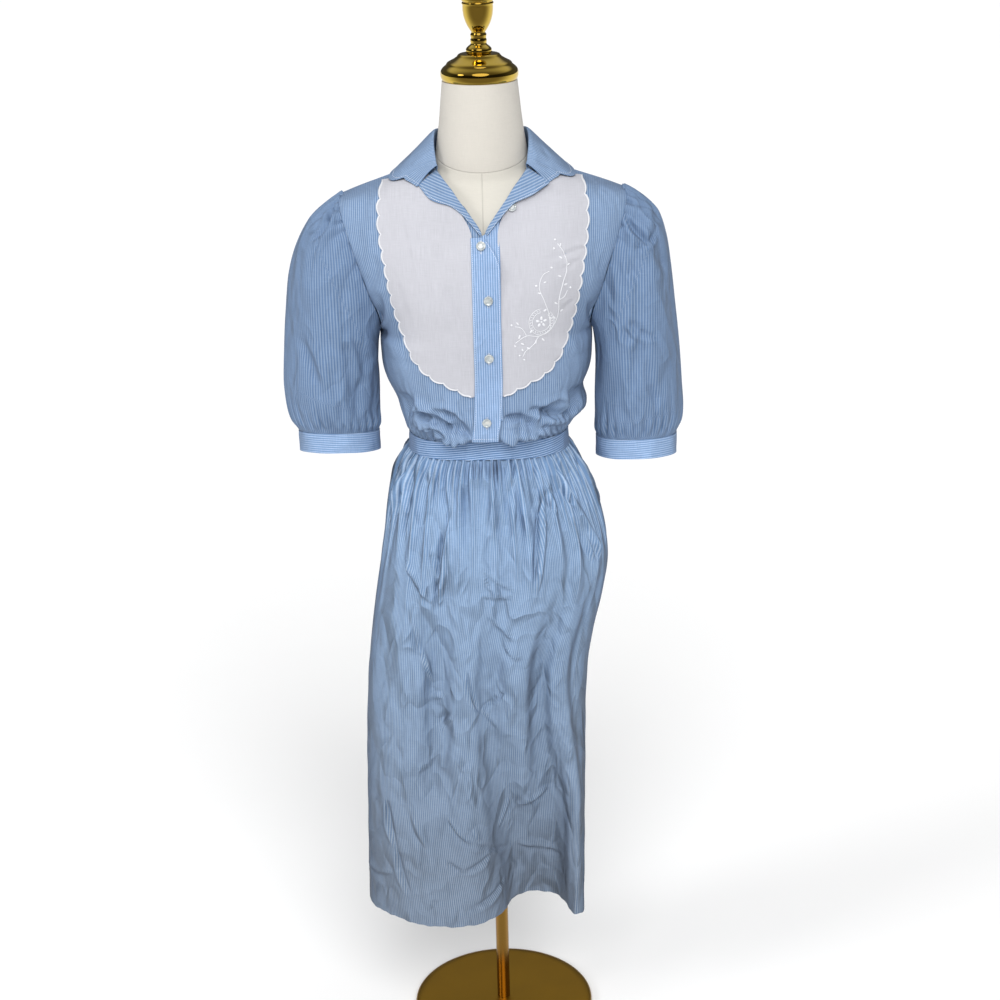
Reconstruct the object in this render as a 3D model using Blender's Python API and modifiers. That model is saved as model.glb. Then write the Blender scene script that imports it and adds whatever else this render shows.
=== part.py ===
# Shirt dress on a limbless dress form, in metres, +Z up, front towards -Y.
# Right and left are the wearer's, so the right side lies at -X.
import math

import bmesh
import bpy
import numpy as np
from mathutils import Vector

# Walls and seams
CLOTH = 0.0010
SEAM = 0.0004
BIB_LIFT = 0.0027
LAPEL_LIFT = 0.0044

# Gathers
FRONT_GATHERS = 8
BACK_GATHERS = 12
SLEEVE_GATHERS = 20
SKIRT_GATHERS = 26
BIB_SCALLOPS = 16
SCALLOP_DEPTH = 0.0038

# Heights
BAND_HEIGHT = 0.0255
WAIST_FRONT = 0.9745
WAIST_SIDE = 0.9680
WAIST_BACK = 0.9660
WAIST_HALF = 0.1130

# Stand
POLE_RADIUS = 0.0100

# Blousing at the side seams
LOBE_RIGHT = 0.0020
LOBE_LEFT = 0.0180

# Centre front and neckline of one front: v is the share of the panel's height
FRONT_EDGE = dict(
    v=(0.0, 0.05, 0.12, 0.20, 0.30, 0.40, 0.48, 0.56, 0.64, 0.72, 0.79, 0.84, 0.88, 0.92, 0.955, 0.98, 1.0),
    x=(0, 0, 0, 0, 0, 0, 0, 0, 0, 0, 0, 0.0030, 0.0135, 0.0275, 0.0425, 0.0590, 0.0710),
    y=(-0.0965, -0.108, -0.115, -0.118, -0.121, -0.125, -0.128, -0.1295, -0.129, -0.124, -0.114,
       -0.1045, -0.0965, -0.087, -0.0735, -0.047, -0.002),
    z=(0.9745, 0.986, 1.003, 1.028, 1.062, 1.098, 1.128, 1.160, 1.193, 1.226, 1.254,
       1.273, 1.289, 1.307, 1.326, 1.343, 1.352),
)

# Side seam, then the front of the armhole, up to the shoulder tip
FRONT_SIDE = dict(
    v=(0.0, 0.05, 0.12, 0.20, 0.30, 0.40, 0.48, 0.542, 0.61, 0.688, 0.766, 0.844, 0.917, 0.969, 1.0),
    x=(0.1130, 0.1170, 0.1215, 0.1300, 0.1460, 0.1500, 0.1500, 0.1475, 0.1500, 0.1620, 0.1735,
       0.1850, 0.1945, 0.1975, 0.1925),
    y=(0.000, 0.001, 0.002, 0.003, 0.004, 0.004, 0.004, -0.026, -0.047, -0.060, -0.063,
       -0.058, -0.044, -0.022, -0.002),
    z=(0.9680, 0.979, 0.997, 1.022, 1.056, 1.088, 1.114, 1.124, 1.148, 1.184, 1.222,
       1.258, 1.288, 1.306, 1.3117),
    full=(2.2, 2.3, 2.4, 2.5, 2.6, 2.7, 2.7, 2.6, 2.5, 2.4, 2.3, 2.2, 2.1, 2.0, 2.0),
    turn=(0.999, 0.999, 0.999, 0.999, 0.999, 0.999, 0.995, 0.96, 0.93, 0.92, 0.92, 0.92, 0.92, 0.92, 0.92),
    gather=(0.0012, 0.0028, 0.0030, 0.0022, 0.0010, 0.0003, 0, 0, 0, 0, 0, 0, 0, 0, 0),
)
BODICE_ROWS = (0.0, 0.05, 0.11, 0.19, 0.29, 0.39, 0.48, 0.57, 0.67, 0.77, 0.86, 0.92, 0.965, 1.0)

# Centre back, from the waist to the nape
BACK_EDGE = dict(
    v=(0.0, 0.05, 0.12, 0.20, 0.30, 0.40, 0.48, 0.56, 0.66, 0.76, 0.86, 0.94, 1.0),
    y=(0.088, 0.098, 0.105, 0.108, 0.109, 0.109, 0.110, 0.112, 0.113, 0.110, 0.098, 0.077, 0.056),
    z=(0.9660, 0.978, 0.996, 1.022, 1.058, 1.094, 1.124, 1.154, 1.196, 1.242, 1.292, 1.330, 1.346),
)

# Back of the armhole, with the side seam below it
BACK_SIDE = dict(
    v=FRONT_SIDE["v"],
    x=(0.1130, 0.1170, 0.1215, 0.1300, 0.1460, 0.1500, 0.1500, 0.1490, 0.1535, 0.1640, 0.1740,
       0.1845, 0.1940, 0.1975, 0.1925),
    y=(0.000, 0.001, 0.002, 0.003, 0.004, 0.004, 0.004, 0.034, 0.055, 0.068, 0.071,
       0.065, 0.047, 0.022, -0.002),
    z=FRONT_SIDE["z"],
    full=(2.2, 2.3, 2.4, 2.5, 2.6, 2.6, 2.6, 2.5, 2.4, 2.3, 2.2, 2.2, 2.1, 2.0, 2.0),
    turn=FRONT_SIDE["turn"],
    gather=FRONT_SIDE["gather"],
)

# Outer edge of a bib from the shoulder down and round to the button stand
BIB_EDGE = dict(
    s=(0.0, 0.10, 0.20, 0.31, 0.42, 0.53, 0.62, 0.72, 0.80, 0.90, 1.0),
    x=(0.1400, 0.1425, 0.1405, 0.1350, 0.1290, 0.1215, 0.1130, 0.1000, 0.0830, 0.0530, 0.0230),
    z=(1.3240, 1.2990, 1.2650, 1.2300, 1.1950, 1.1600, 1.1320, 1.1000, 1.0790, 1.0620, 1.0470),
)

# Inner edge of a bib, along the neckline and then the button stand
BIB_INNER = dict(
    s=(0.0, 0.10, 0.20, 0.31, 0.42, 0.53, 0.62, 0.72, 0.80, 0.90, 1.0),
    x=(0.0760, 0.0520, 0.0345, 0.0230, 0.0230, 0.0230, 0.0230, 0.0230, 0.0230, 0.0230, 0.0225),
    z=(1.3440, 1.3260, 1.3060, 1.2800, 1.2400, 1.2000, 1.1660, 1.1300, 1.1040, 1.0760, 1.0490),
)

# Turned-out front edges: inner is the roll line, outer the free edge
LAPEL_RIGHT = dict(
    s=(0.0, 0.25, 0.45, 0.62, 0.78, 1.0),
    ix=(0.0015, 0.0115, 0.0215, 0.0310, 0.0415, 0.0590),
    iz=(1.2725, 1.2890, 1.3010, 1.3135, 1.3265, 1.3430),
    ox=(0.0045, 0.0185, 0.0300, 0.0450, 0.0680, 0.0850),
    oz=(1.2690, 1.2850, 1.2965, 1.3060, 1.3130, 1.3230),
)
LAPEL_LEFT = dict(
    s=(0.0, 0.25, 0.45, 0.62, 0.78, 1.0),
    ix=(0.0015, 0.0115, 0.0215, 0.0310, 0.0415, 0.0590),
    iz=(1.2725, 1.2890, 1.3010, 1.3135, 1.3265, 1.3430),
    ox=(0.0055, 0.0235, 0.0345, 0.0470, 0.0680, 0.0890),
    oz=(1.2690, 1.2890, 1.3000, 1.3090, 1.3160, 1.3190),
)

# Button stands: z, edges across the front, and how far out they lie
TOP_STAND = dict(
    z=(0.9860, 0.9940, 1.0060, 1.0300, 1.0700, 1.1200, 1.1700, 1.2100, 1.2310, 1.2500, 1.2660),
    right=(-0.0225, -0.0215, -0.0200, -0.0185, -0.0170, -0.0170, -0.0170, -0.0170, -0.0170, -0.0170, -0.0170),
    left=(0.0130, 0.0140, 0.0165, 0.0190, 0.0210, 0.0210, 0.0210, 0.0212, 0.0200, 0.0120, 0.0010),
    out=(0.0100, 0.0070, 0.0052, 0.0044, 0.0040, 0.0038, 0.0038, 0.0038, 0.0038, 0.0038, 0.0038),
)
UNDER_STAND = dict(
    z=(1.0120, 1.0250, 1.0450, 1.0750, 1.1200, 1.1700, 1.2100, 1.2400, 1.2620, 1.2800, 1.2930),
    right=(-0.0130, -0.0130, -0.0130, -0.0130, -0.0130, -0.0130, -0.0130, -0.0130, -0.0060, 0.0095, 0.0185),
    left=(0.0205, 0.0205, 0.0205, 0.0207, 0.0210, 0.0212, 0.0214, 0.0215, 0.0215, 0.0215, 0.0215),
    out=(0.0024, 0.0022, 0.0020, 0.0020, 0.0020, 0.0020, 0.0020, 0.0020, 0.0020, 0.0020, 0.0020),
)

# Collar from the centre back, p 0, to its front end, p 1
COLLAR = dict(
    p=(0.0, 0.2, 0.4, 0.55, 0.70, 0.80, 0.86, 0.90, 0.94, 1.0),
    nx=(0.0, 0.0330, 0.0610, 0.0710, 0.0700, 0.0675, 0.0655, 0.0640, 0.0625, 0.0605),
    ny=(0.0560, 0.0500, 0.0270, 0.0020, -0.0150, -0.0260, -0.0330, -0.0370, -0.0405, -0.0450),
    nz=(1.3464, 1.3479, 1.3521, 1.3545, 1.3545, 1.3530, 1.3510, 1.3500, 1.3490, 1.3475),
    rx=(0.0, 0.0320, 0.0560, 0.0635, 0.0655, 0.0655, 0.0650, 0.0640, 0.0630, 0.0610),
    ry=(0.0660, 0.0590, 0.0330, 0.0050, -0.0200, -0.0310, -0.0370, -0.0410, -0.0450, -0.0500),
    rz=(1.3840, 1.3860, 1.3910, 1.3930, 1.3830, 1.3740, 1.3680, 1.3630, 1.3590, 1.3550),
    ex=(0.0, 0.0480, 0.0880, 0.1070, 0.1190, 0.1255, 0.1240, 0.1150, 0.1025, 0.0860),
    ey=(0.1080, 0.1000, 0.0660, 0.0250, -0.0050, -0.0220, -0.0340, -0.0410, -0.0480, -0.0680),
    ez=(1.3360, 1.3370, 1.3420, 1.3460, 1.3460, 1.3425, 1.3405, 1.3410, 1.3420, 1.3345),
)

# Sleeve rings after the armhole: outer and inner edge, and reach to front and back
SLEEVE_RIGHT = dict(
    t=(0.0, 0.10, 0.20, 0.32, 0.45, 0.58, 0.70, 0.82, 0.92, 1.0),
    ox=(0.1925, 0.2150, 0.2370, 0.2580, 0.2720, 0.2790, 0.2850, 0.2890, 0.2840, 0.2730),
    oz=(1.3117, 1.3000, 1.2810, 1.2480, 1.2050, 1.1500, 1.0950, 1.0400, 0.9960, 0.9690),
    ix=(0.1500, 0.1530, 0.1545, 0.1555, 0.1560, 0.1570, 0.1570, 0.1560, 0.1560, 0.1580),
    iz=(1.1140, 1.1000, 1.0860, 1.0700, 1.0520, 1.0340, 1.0160, 1.0000, 0.9830, 0.9670),
    front=(-0.0630, -0.0740, -0.0800, -0.0820, -0.0800, -0.0770, -0.0740, -0.0700, -0.0640, -0.0560),
    back=(0.0710, 0.0790, 0.0830, 0.0830, 0.0790, 0.0740, 0.0700, 0.0650, 0.0580, 0.0470),
    gather=(0.0010, 0.0030, 0.0028, 0.0014, 0.0006, 0.0003, 0.0006, 0.0018, 0.0034, 0.0022),
)
SLEEVE_LEFT = dict(
    t=SLEEVE_RIGHT["t"],
    ox=(0.1925, 0.2180, 0.2400, 0.2540, 0.2620, 0.2680, 0.2740, 0.2775, 0.2780, 0.2700),
    oz=(1.3117, 1.3010, 1.2800, 1.2450, 1.1980, 1.1430, 1.0850, 1.0280, 0.9860, 0.9560),
    ix=(0.1500, 0.1530, 0.1540, 0.1545, 0.1540, 0.1535, 0.1530, 0.1530, 0.1530, 0.1550),
    iz=(1.1140, 1.0990, 1.0840, 1.0660, 1.0460, 1.0260, 1.0070, 0.9890, 0.9710, 0.9540),
    front=SLEEVE_RIGHT["front"],
    back=SLEEVE_RIGHT["back"],
    gather=SLEEVE_RIGHT["gather"],
)

# Skirt plans: half rings from the right side seam to the left, one row for each bend
HIP_PLAN = dict(
    z=0.800,
    fx=(-0.158, -0.152, -0.128, -0.090, -0.045, 0.0, 0.045, 0.090, 0.130, 0.160, 0.168),
    fy=(0.004, -0.040, -0.080, -0.108, -0.122, -0.126, -0.123, -0.110, -0.084, -0.044, 0.004),
    bx=(0.168, 0.160, 0.130, 0.090, 0.045, 0.0, -0.045, -0.090, -0.130, -0.152, -0.158),
    by=(0.004, 0.052, 0.092, 0.117, 0.130, 0.134, 0.130, 0.117, 0.090, 0.050, 0.004),
)
KNEE_PLAN = dict(
    z=0.615,
    fx=(-0.187, -0.184, -0.165, -0.136, -0.110, -0.092, -0.078, -0.056, -0.034, -0.018, -0.002,
        0.020, 0.042, 0.056, 0.068, 0.084, 0.102, 0.113, 0.124, 0.136, 0.140),
    fy=(0.004, -0.036, -0.068, -0.092, -0.098, -0.084, -0.088, -0.112, -0.116, -0.102, -0.100,
        -0.116, -0.112, -0.090, -0.082, -0.095, -0.088, -0.064, -0.056, -0.034, 0.004),
    bx=(0.140, 0.137, 0.122, 0.104, 0.088, 0.068, 0.044, 0.022, 0.000, -0.022, -0.046,
        -0.068, -0.092, -0.116, -0.136, -0.154, -0.172, -0.184, -0.187),
    by=(0.004, 0.040, 0.074, 0.092, 0.088, 0.098, 0.122, 0.124, 0.108, 0.112, 0.134,
        0.132, 0.110, 0.108, 0.114, 0.096, 0.074, 0.042, 0.004),
)
CALF_PLAN = dict(
    z=0.415,
    fx=(-0.198, -0.196, -0.180, -0.152, -0.122, -0.098, -0.078, -0.052, -0.026, -0.008, 0.006,
        0.022, 0.042, 0.062, 0.080, 0.096, 0.108, 0.118, 0.126, 0.131, 0.131),
    fy=(0.004, -0.034, -0.064, -0.090, -0.104, -0.100, -0.106, -0.122, -0.112, -0.090, -0.076,
        -0.070, -0.072, -0.060, -0.054, -0.068, -0.086, -0.090, -0.072, -0.036, 0.004),
    bx=(0.131, 0.130, 0.118, 0.100, 0.080, 0.060, 0.038, 0.014, -0.010, -0.034, -0.056,
        -0.076, -0.100, -0.124, -0.144, -0.160, -0.180, -0.195, -0.198),
    by=(0.004, 0.040, 0.074, 0.094, 0.088, 0.086, 0.106, 0.124, 0.122, 0.104, 0.096,
        0.112, 0.124, 0.114, 0.094, 0.084, 0.070, 0.040, 0.004),
)
HEM_PLAN = dict(
    z=0.212,
    fx=(-0.205, -0.202, -0.190, -0.170, -0.144, -0.112, -0.074, -0.038, -0.010, 0.006, 0.013,
        0.024, 0.044, 0.068, 0.088, 0.099, 0.105, 0.114, 0.122, 0.1265, 0.124),
    fy=(0.006, -0.024, -0.047, -0.070, -0.089, -0.104, -0.113, -0.104, -0.087, -0.064, -0.040,
        -0.022, -0.013, -0.012, -0.022, -0.044, -0.068, -0.084, -0.078, -0.044, 0.006),
    bx=(0.124, 0.122, 0.110, 0.092, 0.072, 0.054, 0.034, 0.012, -0.012, -0.036, -0.056,
        -0.076, -0.100, -0.126, -0.148, -0.164, -0.184, -0.202, -0.205),
    by=(0.006, 0.040, 0.074, 0.096, 0.090, 0.078, 0.092, 0.118, 0.124, 0.106, 0.088,
        0.098, 0.120, 0.116, 0.090, 0.074, 0.066, 0.038, 0.006),
)
SKIRT_ROWS = (0.9478, 0.9360, 0.9160, 0.8820, 0.8200, 0.7200, 0.6150, 0.5100, 0.4150, 0.3100, 0.2120)

# Torso rings: half width, reach to front and back
TORSO = dict(
    z=(0.7450, 0.7520, 0.8100, 0.8800, 0.9300, 0.9750, 1.0300, 1.1100, 1.1700, 1.2200,
       1.2600, 1.2850, 1.3000, 1.3120, 1.3240, 1.3330, 1.3420, 1.3560, 1.3800, 1.4615),
    half=(0.110, 0.118, 0.126, 0.1180, 0.1105, 0.1105, 0.1150, 0.1330, 0.1420, 0.1480,
          0.1520, 0.1540, 0.1500, 0.1370, 0.1110, 0.0850, 0.0685, 0.0605, 0.0565, 0.0515),
    front=(0.070, 0.078, 0.088, 0.0880, 0.0885, 0.0930, 0.0980, 0.1110, 0.1180, 0.1120,
           0.0980, 0.0860, 0.0760, 0.0670, 0.0600, 0.0560, 0.0550, 0.0545, 0.0535, 0.0515),
    back=(0.072, 0.080, 0.092, 0.0890, 0.0830, 0.0830, 0.0880, 0.0960, 0.0990, 0.0980,
          0.0920, 0.0830, 0.0740, 0.0650, 0.0570, 0.0520, 0.0490, 0.0480, 0.0490, 0.0515),
    full=(2.2, 2.2, 2.2, 2.2, 2.2, 2.2, 2.3, 2.4, 2.4, 2.4, 2.3, 2.2, 2.1, 2.0, 2.0, 2.0,
          2.0, 2.0, 2.0, 2.0),
)

# Turned metal, from the top down: radius and height
FINIAL = dict(
    r=(0.0120, 0.0205, 0.0228, 0.0222, 0.0180, 0.0104, 0.0128, 0.0110, 0.0128, 0.0110, 0.0160, 0.0192,
       0.0192, 0.0165),
    z=(1.5870, 1.5790, 1.5680, 1.5620, 1.5410, 1.5245, 1.5205, 1.5180, 1.5150, 1.5115, 1.5080, 1.5045,
       1.5000, 1.4973),
)
CAP = dict(
    r=(0.0200, 0.0285, 0.0300, 0.0350, 0.0440, 0.0475, 0.0500, 0.0525, 0.0534, 0.0534, 0.0525),
    z=(1.4970, 1.4970, 1.4945, 1.4915, 1.4880, 1.4840, 1.4815, 1.4780, 1.4740, 1.4640, 1.4618),
)
FOOT = dict(
    r=(0.0240, 0.1250, 0.1330, 0.1385, 0.1400, 0.1400, 0.1380),
    z=(0.0120, 0.0120, 0.0112, 0.0092, 0.0060, 0.0020, 0.0000),
)
FLANGE = dict(
    r=(0.0260, 0.0260, 0.0240),
    z=(0.7447, 0.7410, 0.7395),
)
BUTTON = dict(
    r=(0.0036, 0.0044, 0.0055, 0.0064, 0.0064, 0.0056),
    z=(0.0014, 0.0020, 0.0024, 0.0017, 0.0006, 0.0000),
)
BUTTONS = (
    dict(name="button_1", x=-0.0035, z=1.2558, out=0.0043),
    dict(name="button_2", x=0.0045, z=1.1860, out=0.0043),
    dict(name="button_3", x=0.0035, z=1.1050, out=0.0043),
    dict(name="button_4", x=-0.0020, z=1.0110, out=0.0058),
    dict(name="button_5", x=0.0405, z=1.2990, out=0.0031),
)


# Smooth reading of one named column of a table
def smooth(knots, values, at):
    knots = np.asarray(knots, float)
    values = np.asarray(values, float)
    at = np.asarray(at, float)
    steps = np.diff(knots)
    rise = np.diff(values) / steps
    slope = np.empty(len(knots))
    slope[0] = rise[0]
    slope[-1] = rise[-1]
    slope[1:-1] = (rise[:-1] * steps[1:] + rise[1:] * steps[:-1]) / (steps[1:] + steps[:-1])
    span = np.clip(np.searchsorted(knots, at, side="right") - 1, 0, len(knots) - 2)
    h = steps[span]
    t = np.clip((at - knots[span]) / h, 0.0, 1.0)
    h00 = (1 + 2 * t) * (1 - t) ** 2
    h10 = t * (1 - t) ** 2
    h01 = t * t * (3 - 2 * t)
    h11 = t * t * (t - 1)
    return h00 * values[span] + h10 * h * slope[span] + h01 * values[span + 1] + h11 * h * slope[span + 1]


def column(table, key, at, by):
    return smooth(table[by], table[key], at)


def ease(t):
    t = np.clip(t, 0.0, 1.0)
    return t * t * (3 - 2 * t)


# Depth across a panel as a quarter of a rounded oval, cut short where turn is under 1
def quarter(r, full, turn):
    turn = np.clip(turn, 0.5, 0.9995)
    reach = (1 - np.clip(r * turn, 0, 1) ** full) ** (1 / full)
    end = (1 - turn ** full) ** (1 / full)
    return (1 - reach) / (1 - end)


# Gathers run across a panel, u 0 at its centre and 1 at its side
def gather_wave(u, count):
    return np.cos(2 * np.pi * count * u) * (0.82 + 0.18 * np.sin(2 * np.pi * 2.3 * u + 0.8))


def lobe(across, v, amount):
    return amount * np.exp(-((v - 0.14) / 0.065) ** 2) * ease((across - 0.60) / 0.40)


def front_surface(r, v, u=None, swell=0.0):
    ix = column(FRONT_EDGE, "x", v, "v")
    iy = column(FRONT_EDGE, "y", v, "v")
    iz = column(FRONT_EDGE, "z", v, "v")
    ox = column(FRONT_SIDE, "x", v, "v")
    shift = 0.00045 + 0.00035 * ease((v - 0.88) / 0.1)
    iy = iy - np.where(np.asarray(v) > 0.88, shift, 0.0)
    oy = column(FRONT_SIDE, "y", v, "v") - shift
    oz = column(FRONT_SIDE, "z", v, "v")
    full = column(FRONT_SIDE, "full", v, "v")
    turn = column(FRONT_SIDE, "turn", v, "v")
    x = ix + (ox - ix) * r
    y = iy + (oy - iy) * quarter(r, full, turn)
    z = iz + (oz - iz) * r ** (1.3 - 0.3 * ease((v - 0.8) / 0.2))
    z = z + 0.0026 * 4 * r * (1 - r) * ease((v - 0.8) / 0.2)
    bust = np.exp(-((x - 0.080) / 0.045) ** 2 - ((z - 1.175) / 0.060) ** 2)
    y = y - 0.0045 * bust
    if u is not None:
        amount = column(FRONT_SIDE, "gather", v, "v") * ease((x - 0.020) / 0.020) * ease((1 - u) / 0.15)
        lean = r * np.pi / 2
        wave = amount * gather_wave(u, FRONT_GATHERS)
        x = x + wave * np.sin(lean) + lobe(u, v, swell)
        y = y - wave * np.cos(lean)
    return np.stack([x, y, z], axis=-1)


def share_across(u):
    return np.sin(np.clip(u, 0, 1) * np.pi / 2) ** 0.86


# Point of the front under a given x and z, and its outward direction
def front_at(x, z, lift=0.0):
    x = np.asarray(x, float)
    z = np.asarray(z, float)

    def height(v):
        ix = column(FRONT_EDGE, "x", v, "v")
        ox = column(FRONT_SIDE, "x", v, "v")
        r = np.clip((x - ix) / (ox - ix), 0, 1)
        return r, front_surface(r, v)

    low = np.zeros(np.broadcast(x, z).shape)
    high = np.ones_like(low)
    for step in range(22):
        middle = (low + high) / 2
        r, point = height(middle)
        below = point[..., 2] < z
        low = np.where(below, middle, low)
        high = np.where(below, high, middle)
    v = np.clip((low + high) / 2, 0.0, 0.999)
    r, point = height(v)
    if np.all(lift == 0):
        return point
    dr = 0.004
    dv = 0.004
    across = front_surface(np.clip(r + dr, 0, 1), v) - front_surface(np.clip(r - dr, 0, 1), v)
    up = front_surface(r, np.clip(v + dv, 0, 1)) - front_surface(r, np.clip(v - dv, 0, 1))
    out = np.cross(across, up)
    out = out / np.linalg.norm(out, axis=-1, keepdims=True)
    return point + out * np.asarray(lift)[..., None]


def mirrored(points, side):
    return points * np.array([side, 1.0, 1.0])


# One object from a grid whose corners are moved by a shape of u and v
def cloth_grid(name, columns, rows, shape, paint, wall=CLOTH, ring=False, flip=False):
    mesh = bpy.data.meshes.new(name)
    bm = bmesh.new()
    bmesh.ops.create_grid(bm, x_segments=columns, y_segments=rows, size=0.5)
    bm.verts.ensure_lookup_table()
    flat = np.array([vert.co[:2] for vert in bm.verts]) + 0.5
    u = np.round(flat[:, 0] * columns) / columns
    v = np.round(flat[:, 1] * rows) / rows
    points = shape(u, v)
    for vert, point in zip(bm.verts, points):
        vert.co = point
    if ring:
        bmesh.ops.remove_doubles(bm, verts=bm.verts, dist=0.00002)
    if flip:
        bmesh.ops.reverse_faces(bm, faces=bm.faces)
    bm.to_mesh(mesh)
    bm.free()
    piece = bpy.data.objects.new(name, mesh)
    GARMENT.objects.link(piece)
    piece.data.materials.append(paint)
    if wall:
        solid = piece.modifiers.new("wall", "SOLIDIFY")
        solid.thickness = wall
        solid.offset = -1.0
        solid.use_even_offset = False
    return piece


# One closed object turned round the Z axis
def turned(name, profile, steps, paint, place=(0, 0, 0), normal=None):
    mesh = bpy.data.meshes.new(name)
    bm = bmesh.new()
    corners = [bm.verts.new((0.0, 0.0, profile["z"][0]))]
    for radius, height in zip(profile["r"], profile["z"]):
        corners.append(bm.verts.new((radius, 0.0, height)))
    corners.append(bm.verts.new((0.0, 0.0, profile["z"][-1])))
    for one, other in zip(corners, corners[1:]):
        bm.edges.new((one, other))
    bm.to_mesh(mesh)
    bm.free()
    piece = bpy.data.objects.new(name, mesh)
    GARMENT.objects.link(piece)
    piece.data.materials.append(paint)
    screw = piece.modifiers.new("turn", "SCREW")
    screw.steps = steps
    screw.render_steps = steps
    screw.use_merge_vertices = True
    screw.merge_threshold = 0.00005
    screw.use_normal_calculate = False
    piece.location = place
    if normal is not None:
        piece.rotation_mode = "QUATERNION"
        piece.rotation_quaternion = normal.to_track_quat("Z", "Y")
    return piece


def material(name, colour, rough, metal=0.0):
    paint = bpy.data.materials.new(name)
    paint.use_nodes = True
    shader = paint.node_tree.nodes["Principled BSDF"]
    shader.inputs["Base Color"].default_value = (*colour, 1.0)
    shader.inputs["Roughness"].default_value = rough
    shader.inputs["Metallic"].default_value = metal
    return paint


def bodice_rows(v):
    return np.interp(v * (len(BODICE_ROWS) - 1), np.arange(len(BODICE_ROWS)), BODICE_ROWS)


# Height of the waist seam, r being the share of the half width
def waist_height(r, forward):
    front = WAIST_FRONT + (WAIST_SIDE - WAIST_FRONT) * r ** 1.3
    back = WAIST_BACK + (WAIST_SIDE - WAIST_BACK) * r ** 1.5
    return np.where(forward, front, back)


# Fronts
def front_shape(side):
    def shape(u, v):
        rise = bodice_rows(v)
        r = share_across(u)
        points = front_surface(r, rise, u, LOBE_RIGHT if side < 0 else LOBE_LEFT)
        points[:, 0] = np.maximum(points[:, 0], 0.0002)
        return mirrored(points, side)
    return shape


# Back, u from the right side to the left
def back_surface(u, v):
    v = bodice_rows(v)
    side = np.where(u < 0.5, -1.0, 1.0)
    across = np.abs(2 * u - 1)
    r = share_across(across)
    cy = column(BACK_EDGE, "y", v, "v")
    cz = column(BACK_EDGE, "z", v, "v")
    ox = column(BACK_SIDE, "x", v, "v")
    oy = column(BACK_SIDE, "y", v, "v") + 0.00045
    oz = column(BACK_SIDE, "z", v, "v")
    full = column(BACK_SIDE, "full", v, "v")
    turn = column(BACK_SIDE, "turn", v, "v")
    x = ox * r
    y = cy + (oy - cy) * quarter(r, full, turn)
    z = cz + (oz - cz) * r ** 1.5
    amount = column(BACK_SIDE, "gather", v, "v") * ease((1 - across) / 0.15)
    lean = r * np.pi / 2
    wave = amount * gather_wave(across, BACK_GATHERS / 2)
    x = x + wave * np.sin(lean) + lobe(across, v, np.where(u < 0.5, LOBE_RIGHT, LOBE_LEFT))
    y = y + wave * np.cos(lean)
    neck = 0.42
    turn_in = np.clip(across / neck, 0, 1) * np.pi / 2
    out = np.clip((across - neck) / (1 - neck), 0, 1)
    top_x = np.where(across < neck, 0.0712 * np.sin(turn_in), 0.0712 + (0.1925 - 0.0712) * out)
    top_y = np.where(across < neck, -0.0010 + 0.0570 * np.cos(turn_in), -0.0010)
    fall = 1.352 + (1.3117 - 1.352) * out + 0.0026 * 4 * out * (1 - out)
    top_z = np.where(across < neck, 1.352 - 0.006 * np.cos(turn_in), fall)
    end_y = column(BACK_EDGE, "y", 1.0, "v")
    end_z = column(BACK_EDGE, "z", 1.0, "v")
    full_end = column(BACK_SIDE, "full", 1.0, "v")
    turn_end = column(BACK_SIDE, "turn", 1.0, "v")
    plain_y = end_y + (-0.0010 - end_y) * quarter(r, full_end, turn_end)
    plain_z = end_z + (1.3117 - end_z) * r ** 1.5
    blend = np.clip((v - 0.62) / 0.38, 0, 1) ** 2
    x = x + (top_x - 0.1925 * r) * blend
    y = y + (top_y - plain_y) * blend
    z = z + (top_z - plain_z) * blend
    return np.stack([side * x, y, z], axis=-1)


# Bibs with their scalloped edge, u from the inner edge out, v from the shoulder down
def bib_shape(side):
    def shape(u, v):
        inner_x = column(BIB_INNER, "x", v, "s")
        inner_z = column(BIB_INNER, "z", v, "s")
        outer_x = column(BIB_EDGE, "x", v, "s")
        outer_z = column(BIB_EDGE, "z", v, "s")
        ahead = np.clip(v + 0.01, 0, 1)
        behind = np.clip(v - 0.01, 0, 1)
        along_x = column(BIB_EDGE, "x", ahead, "s") - column(BIB_EDGE, "x", behind, "s")
        along_z = column(BIB_EDGE, "z", ahead, "s") - column(BIB_EDGE, "z", behind, "s")
        length = np.hypot(along_x, along_z)
        bump = SCALLOP_DEPTH * (np.abs(np.sin(np.pi * BIB_SCALLOPS * v)) ** 0.7 - 0.5)
        bump = bump * ease(v / 0.02) * ease((1 - v) / 0.03)
        outer_x = outer_x - along_z / length * bump
        outer_z = outer_z + along_x / length * bump
        reach = u + 0.10 * np.sin(np.pi * u)
        x = inner_x + (outer_x - inner_x) * reach
        z = inner_z + (outer_z - inner_z) * reach
        return mirrored(front_at(x, z, np.full(len(u), BIB_LIFT)), side)
    return shape


# Turned-out lapels, u from the roll line out, v from the V up
def lapel_shape(table, side, spring):
    def shape(u, v):
        x = column(table, "ix", v, "s") * (1 - u) + column(table, "ox", v, "s") * u
        z = column(table, "iz", v, "s") * (1 - u) + column(table, "oz", v, "s") * u
        lift = LAPEL_LIFT + 0.0012 * np.sin(np.pi * u) * v - 0.0006 * (1 - u) + spring * u * ease(v / 0.3)
        return mirrored(front_at(x, z, lift), side)
    return shape


# Button stands, u from the right edge to the left, v upwards
def stand_shape(table):
    def shape(u, v):
        low = table["z"][0]
        high = table["z"][-1]
        z = low + (high - low) * v
        x = column(table, "right", z, "z") * (1 - u) + column(table, "left", z, "z") * u
        out = column(table, "out", z, "z")
        points = front_at(np.abs(x), z, out)
        points[:, 0] = np.where(x < 0, -points[:, 0], points[:, 0])
        return points
    return shape


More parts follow.
